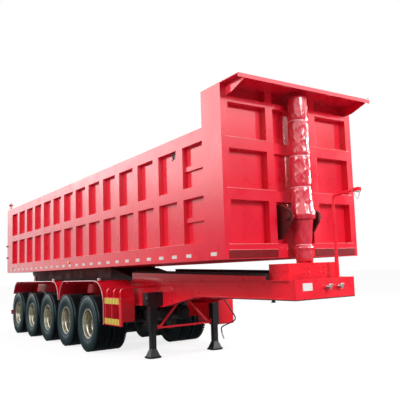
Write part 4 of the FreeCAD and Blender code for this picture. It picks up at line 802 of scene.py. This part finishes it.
class Hooks(bpy.types.Operator):
    """Hook on the canopy's corner, and staples with hooks under the sides' top rails"""
    bl_idname = "trailer.hooks"
    bl_label = "Hooks"

    def execute(self, context):
        mesh = bmesh.new()
        x, y, z = CANOPY_EDGE - 0.03, BODY_HALF - 0.03, WALL_TOP
        rod(mesh, (x, y, z - 0.002), (x, y, z + 0.030), 0.006, 10)
        rod(mesh, (x, y, z + 0.026), (x + 0.025, y + 0.025, z + 0.034), 0.006, 10)
        piece("canopy_hook", mesh, BODY, [bolt_steel()], 40)
        mesh = bmesh.new()
        x, z = BODY_FRONT - 1.40, TOP_RAIL_LOW
        for side in SIDES.values():
            y = side * (BODY_HALF - 0.040)
            for leg in (x - 0.035, x + 0.035):
                rod(mesh, (leg, y, z - 0.001), (leg, y, z - 0.060), 0.008, 10)
            rod(mesh, (x - 0.043, y, z - 0.060), (x + 0.043, y, z - 0.060), 0.008, 10)
            block(mesh, (x - 0.014, y - 0.012, z - 0.105), (x + 0.014, y + 0.012, z - 0.052),
                  0.004)
            rod(mesh, (x, y, z - 0.098), (x - 0.045, y, z - 0.118), 0.009, 10)
        piece("rope_hooks", mesh, BODY, [black_paint()], 40)
        return {"FINISHED"}


class GateFittings(bpy.types.Operator):
    """Latch knobs at the gate's sides and nuts on its hinge pins"""
    bl_idname = "trailer.gate_fittings"
    bl_label = "Gate fittings"

    KNOBS_UP = (0.452, 0.792)

    def execute(self, context):
        mesh, nuts = bmesh.new(), bmesh.new()
        x, reach = BODY_REAR - 0.064, corner("tailgate", HIGH, "y")
        for side in SIDES.values():
            for z in [BODY_LOW + up for up in self.KNOBS_UP]:
                for start, end, radius, sides in ((-0.010, 0.016, 0.016, 16),
                                                  (0.014, 0.030, 0.030, 20)):
                    rod(mesh, (x, side * (reach + start), z), (x, side * (reach + end), z),
                        radius, sides)
            nut(nuts, (BODY_REAR + 0.070, side * (BODY_HALF - 0.046), HINGE_PIN_Z),
                (0, side, 0), 0.034, 0.022)
        bmesh.ops.bevel(mesh, geom=[e for e in mesh.edges if e.calc_face_angle(0) > 1.0],
                        offset=0.004, segments=2, profile=0.5, affect="EDGES", material=-1)
        piece("latch_knobs", mesh, GATE, [black_paint()], 40)
        piece("gate_pin_nuts", nuts, BODY, [black_paint()], 30)
        return {"FINISHED"}


class HighlightDuct(bpy.types.Operator):
    """Slim duct on the front wall, up behind the hoist, its light paint a painted highlight"""
    bl_idname = "trailer.duct"
    bl_label = "Wall duct"

    def execute(self, context):
        mesh = bmesh.new()
        block(mesh, (WALL_FACE - 0.001, 0.062, BODY_LOW + 1.70),
              (WALL_FACE + 0.022, 0.092, BODY_LOW + 2.13), 0.005, 3)
        # Light pink paint: a painted highlight, the bright vertical streak on the wall beside
        # the hoist
        light = plain("duct_paint", (0.70, 0.42, 0.42), rough=0.3, spread=0.1, scale=9.0)
        piece("wall_highlight_duct", mesh, BODY, [light], 40)
        return {"FINISHED"}


class FenderBeads(bpy.types.Operator):
    """Rolled edges along the outer side of each fender, painted light as a painted highlight
    along them
    """
    bl_idname = "trailer.fender_beads"
    bl_label = "Fender beads"

    def execute(self, context):
        first, second, last = axle_x(1), axle_x(2), axle_x(5)
        top, low = FENDER_TOP, FENDER_TOP - 0.420
        paths = {
            "rear": ([(last - 0.450, top - 0.340), (last - 0.290, top), (second - 0.500, top),
                      (second - 0.478, low)], (0.50, 0.40)),
            "front": ([(second - 0.400, low), (second - 0.270, top), (first + 0.890, top),
                       (first + 0.892, top - 0.820)], (0.35, 0.45))}
        # Light pink enamel: a painted highlight on the fenders' edges
        bead = enamel("bead_enamel", (0.80, 0.30, 0.32), rough=0.25, coat=1.0)
        for name, side in SIDES.items():
            y = side * (BODY_HALF - 0.004)
            for end, (corners, bends) in paths.items():
                points = [Vector((x, y, z - 0.003)) for x, z in corners]
                tube(f"fender_bead_{end}_{name}", rounded(points, bends), 0.0085,
                     bead, "POLY", 3)
        return {"FINISHED"}


class FenderMarkers(bpy.types.Operator):
    """Small clear lamps on the fenders"""
    bl_idname = "trailer.fender_markers"
    bl_label = "Fender markers"

    BACK = (7.43, 4.55)

    def execute(self, context):
        mesh = bmesh.new()
        for side in SIDES.values():
            y = side * (BODY_HALF - 0.05)
            for x in [BODY_FRONT - back for back in self.BACK]:
                block(mesh, (x - 0.028, y - 0.028, FENDER_TOP - 0.003),
                      (x + 0.028, y + 0.028, FENDER_TOP + 0.052), 0.012, 3)
        piece("fender_markers", mesh, CHASSIS, [clear_lens()], 40)
        return {"FINISHED"}


class Toolbox(bpy.types.Operator):
    """The toolbox at its full length, with a lid, brackets, latches and hinges"""
    bl_idname = "trailer.toolbox"
    bl_label = "Toolbox"

    LENGTH = 0.76
    BACK = 0.792

    def execute(self, context):
        low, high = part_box("toolbox")
        reach, case, face = low.x + self.LENGTH, high.y - 0.012, high.y
        mesh = bmesh.new()
        block(mesh, (low.x, self.BACK, low.z), (reach, case, high.z), 0.012, 3)
        block(mesh, (low.x + 0.02, case - 0.002, low.z + 0.03),
              (reach - 0.02, face, high.z - 0.03), 0.006)
        for x in (low.x + 0.12, low.x + 0.42):
            block(mesh, (x - 0.03, WEB_FACE, BEAM_LOW + 0.014),
                  (x + 0.03, self.BACK + 0.01, high.z - 0.01), 0.004, 1)
        for x in (low.x + 0.18, reach - 0.18):
            block(mesh, (x - 0.028, face - 0.002, high.z - 0.12),
                  (x + 0.028, face + 0.012, high.z - 0.05), 0.005, material=1)
            rod(mesh, (x - 0.05, face + 0.004, low.z + 0.032),
                (x + 0.05, face + 0.004, low.z + 0.032), 0.009, 14)
        made = piece("toolbox_case", mesh, CHASSIS,
                     [frame_paint(), bolt_steel()], 40)
        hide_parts("toolbox")
        return {"FINISHED"}


class Crank(bpy.types.Operator):
    """The stowed crank of the legs, one smooth rod with a steel grip"""
    bl_idname = "trailer.crank"
    bl_label = "Crank"

    def execute(self, context):
        low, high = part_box("leg_crank")
        x, y = LEG_X, high.y - 0.012
        points = [(x, low.y - 0.004, LEG_SHAFT_Z), (x, y - 0.030, LEG_SHAFT_Z),
                  (x + 0.005, y, 1.058),
                  (x + 0.060, y, 1.010), (x + 0.405, y, 0.700), (x + 0.485, y, 0.625),
                  (x + 0.455, y, 0.570), (x + 0.330, y, 0.520), (x + 0.070, y, 0.445),
                  (x - 0.030, y, 0.400), (x - 0.020, y, 0.330), (x + 0.010, y, 0.270)]
        arm = tube("crank_arm", points, 0.0125, black_paint())
        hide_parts("leg_crank")
        mesh = bmesh.new()
        start, end = Vector((x + 0.004, y, 0.285)), Vector((x + 0.055, y, 0.205))
        run = end - start
        rod(mesh, start, end, 0.016, 20)
        rod(mesh, end - run * 0.08, end + run * 0.06, 0.019, 20)
        piece("crank_grip", mesh, CHASSIS, [bolt_steel()], 40)
        return {"FINISHED"}


class Risers(bpy.types.Operator):
    """Packers rising to the rear on the gooseneck's strips, with cheeks beside them"""
    bl_idname = "trailer.risers"
    bl_label = "Risers"

    STRIP = 0.080
    FRONT, REAR = BODY_FRONT - 0.080, BODY_FRONT - 4.42

    def wedges(self, near, far, base, top, slope):
        """One bar a side whose top climbs from the front end towards the rear."""
        mesh = bmesh.new()
        for side in SIDES.values():
            ends = across(side, BEAM_Y + near, BEAM_Y + far)
            block(mesh, (self.REAR, ends[0], base), (self.FRONT, ends[1], base + 0.01))
        for vert in mesh.verts:
            if vert.co.z > base + 0.005:
                vert.co.z = top + (self.FRONT - vert.co.x) * slope
        return mesh

    def execute(self, context):
        strip_top = DECK + self.STRIP
        dark = plain("packer_rubber", (0.022, 0.014, 0.013), rough=0.75)
        packers = self.wedges(0.050, -0.050, strip_top, strip_top + 0.012, 0.028)
        piece("strip_packers", packers, CHASSIS, [dark])
        cheeks = self.wedges(FLANGE_HALF, FLANGE_HALF - 0.016, DECK, DECK + 0.054, 0.027)
        piece("flange_cheeks", cheeks, CHASSIS, [frame_paint()])
        return {"FINISHED"}


class NoseFittings(bpy.types.Operator):
    """Blank plate with its screws and the air fittings on the front beam"""
    bl_idname = "trailer.nose_fittings"
    bl_label = "Nose fittings"

    COUPLINGS_Y = (0.02, 0.24)

    def execute(self, context):
        mesh = bmesh.new()
        block(mesh, (NOSE - 0.001, -0.420, 1.225), (NOSE + 0.003, -0.250, 1.325), 0.001, 1)
        for y in (-0.410, -0.260):
            for z in (1.235, 1.315):
                rod(mesh, (NOSE, y, z), (NOSE + 0.005, y, z), 0.004, 10, material=1)
        white = plain("blank_plate", (0.72, 0.69, 0.68), rough=0.4, spread=0.06, scale=50.0)
        piece("blank_plate", mesh, CHASSIS, [white, bolt_steel()])
        mesh = bmesh.new()
        x, z = NOSE + 0.052, COUPLING_Z
        for y in self.COUPLINGS_Y:
            rod(mesh, (NOSE, y, z), (x - 0.028, y, z), 0.026, 6)
            block(mesh, (x - 0.014, y - 0.010, z + 0.020), (x + 0.010, y + 0.055, z + 0.040),
                  0.004)
            rod(mesh, (x - 0.002, y - 0.062, z + 0.010), (x - 0.002, y - 0.020, z + 0.004),
                0.008, 12)
            rod(mesh, (x, y, z), (x + 0.024, y, z), 0.020, 18)
        piece("air_fittings", mesh, CHASSIS, [bolt_steel()], 35)
        return {"FINISHED"}


class Mast(bpy.types.Operator):
    """Cross bar, clamp and short line at the tip of the hose mast"""
    bl_idname = "trailer.mast"
    bl_label = "Mast head"

    ARM_Y = 0.29

    def execute(self, context):
        x, y, z = corner("hose_mast", HIGH, "x"), self.ARM_Y, corner("hose_mast", HIGH, "z")
        mesh = bmesh.new()
        rod(mesh, (x - 0.115, y - 0.034, z - 0.026), (x - 0.115, y + 0.034, z - 0.026), 0.012)
        block(mesh, (x - 0.050, y - 0.028, z - 0.066), (x - 0.004, y + 0.028, z - 0.046),
              0.006)
        piece("mast_head", mesh, CHASSIS, [bolt_steel()], 40)
        line = [(-0.100, -0.059), (-0.098, -0.100), (-0.060, -0.160), (-0.022, -0.130),
                (-0.010, -0.057)]
        wire = plain("line_steel", (0.45, 0.30, 0.28), rough=0.4, metal=0.4)
        tube("mast_line", [(x + dx, y, z + dz) for dx, dz in line], 0.0045, wire)
        return {"FINISHED"}


class FrameBolts(bpy.types.Operator):
    """Painted bolts on the hoist cradle and inside the webs at the legs"""
    bl_idname = "trailer.frame_bolts"
    bl_label = "Frame bolts"

    def execute(self, context):
        mesh = bmesh.new()
        front, face = corner("hoist_cradle", HIGH, "x"), corner("hoist_cradle", HIGH, "y")
        for y in (-0.19, -0.11, 0.11, 0.19):
            for z in (DECK + 0.075, DECK + 0.150):
                nut(mesh, (front, y, z), (1, 0, 0), 0.013, 0.010)
        for side in SIDES.values():
            for x in (BODY_FRONT + 0.05, BODY_FRONT + 0.25):
                nut(mesh, (x, side * face, DECK + 0.11), (0, side, 0), 0.013, 0.010)
            for x in (LEG_X - 0.075, LEG_X, LEG_X + 0.075):
                for z in (BEAM_LOW + 0.09, BEAM_LOW + 0.22):
                    nut(mesh, (x, side * (WEB_FACE - 0.010), z), (0, -side, 0), 0.013, 0.011)
        piece("frame_bolts", mesh, CHASSIS, [frame_paint()], 30)
        return {"FINISHED"}


class LegGear(bpy.types.Operator):
    """Gearbox covers, their screws and the cross shaft between the legs"""
    bl_idname = "trailer.leg_gear"
    bl_label = "Leg gear"

    COVER = [(0.0, 0.0), (0.045, 0.0), (0.045, 0.010), (0.034, 0.018), (0.0, 0.018)]

    def execute(self, context):
        mesh = bmesh.new()
        x, z, face = LEG_X, LEG_SHAFT_Z, corner("leg_tubes", HIGH, "y")
        for side in SIDES.values():
            for dx in (-0.14, 0.045):
                for dz in (-0.095, 0.095):
                    nut(mesh, (x + dx, side * face, z + dz), (0, side, 0), 0.010, 0.008)
            turned_at(mesh, self.COVER, (x, side * face, z), -side, "X", steps=32)
        inner = face - 0.18
        rod(mesh, (x, -inner, z), (x, inner, z), 0.016)
        piece("leg_gear", mesh, CHASSIS, [black_paint()], 35, True)
        return {"FINISHED"}


class SpringNuts(bpy.types.Operator):
    """Nuts under the spring clamps, four to a spring"""
    bl_idname = "trailer.spring_nuts"
    bl_label = "Spring nuts"

    BOLT_Y = 0.0523

    def execute(self, context):
        mesh = bmesh.new()
        low = corner("spring_clamps", LOW, "z") + 0.002
        for i in AXLES:
            for side in SIDES.values():
                for x in (axle_x(i) - 0.086, axle_x(i) + 0.072):
                    for shift in (-self.BOLT_Y, self.BOLT_Y):
                        nut(mesh, (x, side * BEAM_Y + shift, low), (0, 0, -1), 0.015, 0.016)
        piece("spring_nuts", mesh, CHASSIS, [bolt_steel()], 30)
        return {"FINISHED"}


class Chambers(bpy.types.Operator):
    """Clamp bands and end domes of the brake chambers"""
    bl_idname = "trailer.chambers"
    bl_label = "Brake chambers"

    LENGTH = 0.170
    BAND = [(0.081, -0.010), (0.089, -0.010), (0.089, 0.010), (0.081, 0.010)]
    DOME = [(0.0, 0.018), (0.030, 0.016), (0.058, 0.008), (0.072, -0.002)]

    def execute(self, context):
        mesh = bmesh.new()
        for i in AXLES:
            rear = axle_x(i) - 0.035 - self.LENGTH
            for side in SIDES.values():
                y = side * (BEAM_Y - 0.155)
                for share in (0.30, 0.62):
                    turned_at(mesh, self.BAND, (rear + share * self.LENGTH, y, HUB_Z), 1,
                              steps=40, closed=True)
                turned_at(mesh, self.DOME, (rear, y, HUB_Z), -1, steps=32)
        piece("chamber_clamps", mesh, CHASSIS, [bolt_steel()], 40, True)
        return {"FINISHED"}


class Tanks(bpy.types.Operator):
    """Domed ends and drain nuts of the air tanks"""
    bl_idname = "trailer.tanks"
    bl_label = "Air tanks"

    RADIUS = 0.140
    APART = 0.190
    DOME = [(0.0, 0.030), (0.050, 0.026), (0.096, 0.012), (0.122, -0.002)]

    def execute(self, context):
        low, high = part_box("air_tanks")
        mesh = bmesh.new()
        for side in SIDES.values():
            y = side * self.APART
            for x, quarters in ((low.x, -1), (high.x, 1)):
                turned_at(mesh, self.DOME, (x, y, low.z + self.RADIUS), quarters, steps=40)
            nut(mesh, (high.x - 0.12, y, low.z + 0.003), (0, 0, -1), 0.016, 0.018)
        piece("tank_ends", mesh, CHASSIS, [black_paint()], 50, True)
        return {"FINISHED"}


class AirLines(bpy.types.Operator):
    """Two lines along the webs from the nose to the last axle"""
    bl_idname = "trailer.air_lines"
    bl_label = "Air lines"

    def execute(self, context):
        radius = context.scene.trailer_fittings.hose_radius
        black = plain("air_line", (0.02, 0.02, 0.022), rough=0.45, spread=0.2, scale=9.0)
        route = [(NOSE - 0.16, 1.25), (BODY_FRONT - 1.2, 1.25), (BODY_FRONT - 2.6, 1.20),
                 (axle_x(1) + 1.1, 1.16), (axle_x(3), 1.17), (axle_x(5), 1.16)]
        for name, side in SIDES.items():
            y = side * (WEB_FACE - 0.020)
            tube(f"air_line_{name}", [(x, y, z) for x, z in route], radius,
                 black)
        return {"FINISHED"}


class TailLenses(bpy.types.Operator):
    """Round lenses on the tail lamps, the middle one amber"""
    bl_idname = "trailer.tail_lenses"
    bl_label = "Tail lenses"

    LENS = [(0.0, 0.014), (0.018, 0.012), (0.030, 0.007), (0.034, 0.0), (0.034, -0.002)]

    def execute(self, context):
        low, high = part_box("tail_lamps")
        mesh = bmesh.new()
        middle = (low.z + high.z) / 2
        for side in SIDES.values():
            for i in range(3):
                y = side * (high.y - 0.048 - 0.082 * i)
                turned_at(mesh, self.LENS, (low.x, y, middle), -1, steps=28, material=i % 2)
        piece("tail_lenses", mesh, CHASSIS, [red_lens(), amber_lens()], 50,
              True)
        return {"FINISHED"}


class Stage(bpy.types.Operator):
    """Floor, soft light and the photograph's camera"""
    bl_idname = "trailer.stage"
    bl_label = "Stage"

    # The camera's pinhole fit, in pixels of the 400 pixel square frame, metres and degrees
    FRAME_PX = 400.0
    FOCAL_PX = 557.6
    AXIS_PX = (244.2, 207.5)
    PLACE = (11.506, -5.353, 1.559)
    YAW, PITCH, ROLL = 143.91, 6.18, -2.255
    FILM_MM = 36.0
    FLOOR_HALF = 90.0
    FLOOR_DROP = 0.001

    def camera(self):
        data = bpy.data.cameras.new("photo_camera")
        data.sensor_width = self.FILM_MM
        data.sensor_fit = "HORIZONTAL"
        data.lens = self.FOCAL_PX / self.FRAME_PX * self.FILM_MM
        half = self.FRAME_PX / 2
        data.shift_x = -(self.AXIS_PX[0] - half) / self.FRAME_PX
        data.shift_y = (self.AXIS_PX[1] - half) / self.FRAME_PX
        data.clip_end = 400.0
        yaw, pitch, roll = (math.radians(a) for a in (self.YAW, self.PITCH, self.ROLL))
        ahead = Vector((math.cos(yaw) * math.cos(pitch), math.sin(yaw) * math.cos(pitch),
                        math.sin(pitch)))
        right = Vector((math.sin(yaw), -math.cos(yaw), 0.0))
        up = right.cross(ahead)
        level = right * math.cos(roll) + up * math.sin(roll)
        above = up * math.cos(roll) - right * math.sin(roll)
        turn = Matrix((level, above, -ahead)).transposed().to_4x4()
        camera = put("photo_camera", data)
        camera.matrix_world = Matrix.Translation(self.PLACE) @ turn
        bpy.context.scene.camera = camera

    def floor(self):
        mesh = bmesh.new()
        bmesh.ops.create_grid(mesh, x_segments=2, y_segments=2, size=self.FLOOR_HALF)
        data = bpy.data.meshes.new("studio_floor")
        mesh.to_mesh(data)
        mesh.free()
        floor = put("studio_floor", data)
        floor.location.z = -self.FLOOR_DROP
        data.materials.append(pale_floor("pale_floor"))

    def lamp(self, name, place, target, size, power):
        data = bpy.data.lights.new(name, "AREA")
        data.shape = "DISK"
        data.size = size
        data.energy = power
        lamp = put(name, data)
        lamp.location = place
        aim = Vector(target) - Vector(place)
        lamp.rotation_euler = aim.to_track_quat("-Z", "Y").to_euler()

    def sky(self, strength, shine):
        """White to the camera, soft on surfaces, and rising from a dim horizon in gloss."""
        world = bpy.data.worlds.new("studio")
        world.use_nodes = True
        graph, nodes = Graph(world.node_tree), world.node_tree.nodes
        towards = (graph.add("TexCoord", {}), "Generated")
        split = graph.add("SeparateXYZ", {"Vector": towards})
        height = (graph.add("MapRange", {"Value": (split, "Z"), "From Min": -1.0}), "Result")
        tilt = graph.add("VectorMath", {0: towards, 1: (-0.016, -0.021, 0.0)},
                         operation="DOT_PRODUCT")
        tilted = graph.add("Math", {0: height, 1: (tilt, "Value")})
        rise = graph.ramp((tilted, "Value"), (0.47, 0.02), (0.525, 0.04), (0.558, 0.08),
                          (0.585, 0.32), (0.610, 0.78), (0.640, 1.0), (0.90, 0.75))
        behind = graph.add("MapRange", {"Value": (split, "X"), "From Min": -0.85,
                                        "From Max": -1.0, "To Max": 0.30})
        haze = graph.add("Mix", {"Factor": (behind, "Result"), "A": rise, "B": WHITE},
                         data_type="RGBA", blend_type="ADD")
        gloss = graph.add("Background", {"Color": (haze, "Result"), "Strength": shine})
        bright = graph.add("Background", {"Color": WHITE})
        soft_rise = graph.ramp(height, (0.40, 0.35), (0.50, 0.6), (0.75, 1.0))
        graph.fill(nodes["Background"], {"Color": soft_rise, "Strength": strength})
        rays = graph.add("LightPath", {})
        inner = graph.choose((rays, "Is Glossy Ray"), nodes["Background"], gloss)
        outer = graph.choose((rays, "Is Camera Ray"), inner, bright)
        graph.fill(nodes["World Output"], {"Surface": (outer, 0)})
        bpy.context.scene.world = world

    def execute(self, context):
        stage = context.scene.trailer_stage
        self.camera()
        self.floor()
        self.sky(stage.sky, stage.shine)
        self.lamp("key_light", (3.0, -18.0, 13.0), (0.0, 0.0, 2.0), 8.0, stage.key_power)
        self.lamp("front_light", (18.5, 2.5, 8.5), (4.5, 0.0, 2.0), 5.0, stage.front_power)
        self.lamp("edge_light", (8.6, 13.5, 5.5), (5.5, 0.0, 2.8), 3.0, stage.edge_power)
        context.scene.view_settings.view_transform = "Standard"
        return {"FINISHED"}


class TrailerPanel(bpy.types.Panel):
    """Lists the trailer's building steps and settings"""
    bl_idname = "VIEW3D_PT_trailer"
    bl_label = "Dump trailer"
    bl_space_type = "VIEW_3D"
    bl_region_type = "UI"
    bl_category = "Trailer"

    def draw(self, context):
        for operator in OPERATORS:
            self.layout.operator(operator.bl_idname)
        for group in GROUPS:
            box = self.layout.box()
            held = getattr(context.scene, group)
            for name in held.bl_rna.properties.keys():
                if name not in ("name", "rna_type"):
                    box.prop(held, name)


OPERATORS = (Stage, Finishes, Wheels, Film, Strips, Tape, BodyLamps, Hooks, GateFittings, HighlightDuct,
             FenderBeads, FenderMarkers, Toolbox, Crank, Risers, NoseFittings, Mast,
             FrameBolts, LegGear, SpringNuts, Chambers, Tanks, AirLines, TailLenses)
GROUPS = {"trailer_body": BodySettings, "trailer_wheels": WheelSettings,
          "trailer_fittings": FittingSettings, "trailer_stage": StageSettings}


def register():
    for cls in (*GROUPS.values(), *OPERATORS, TrailerPanel):
        bpy.utils.register_class(cls)
    for name, group in GROUPS.items():
        setattr(bpy.types.Scene, name, PointerProperty(type=group))


def unregister():
    for name in GROUPS:
        delattr(bpy.types.Scene, name)
    for cls in (TrailerPanel, *reversed(OPERATORS), *GROUPS.values()):
        bpy.utils.unregister_class(cls)


def main():
    register()
    for operator in OPERATORS:
        family, name = operator.bl_idname.split(".")
        getattr(getattr(bpy.ops, family), name)()


if __name__ == "__main__":
    main()
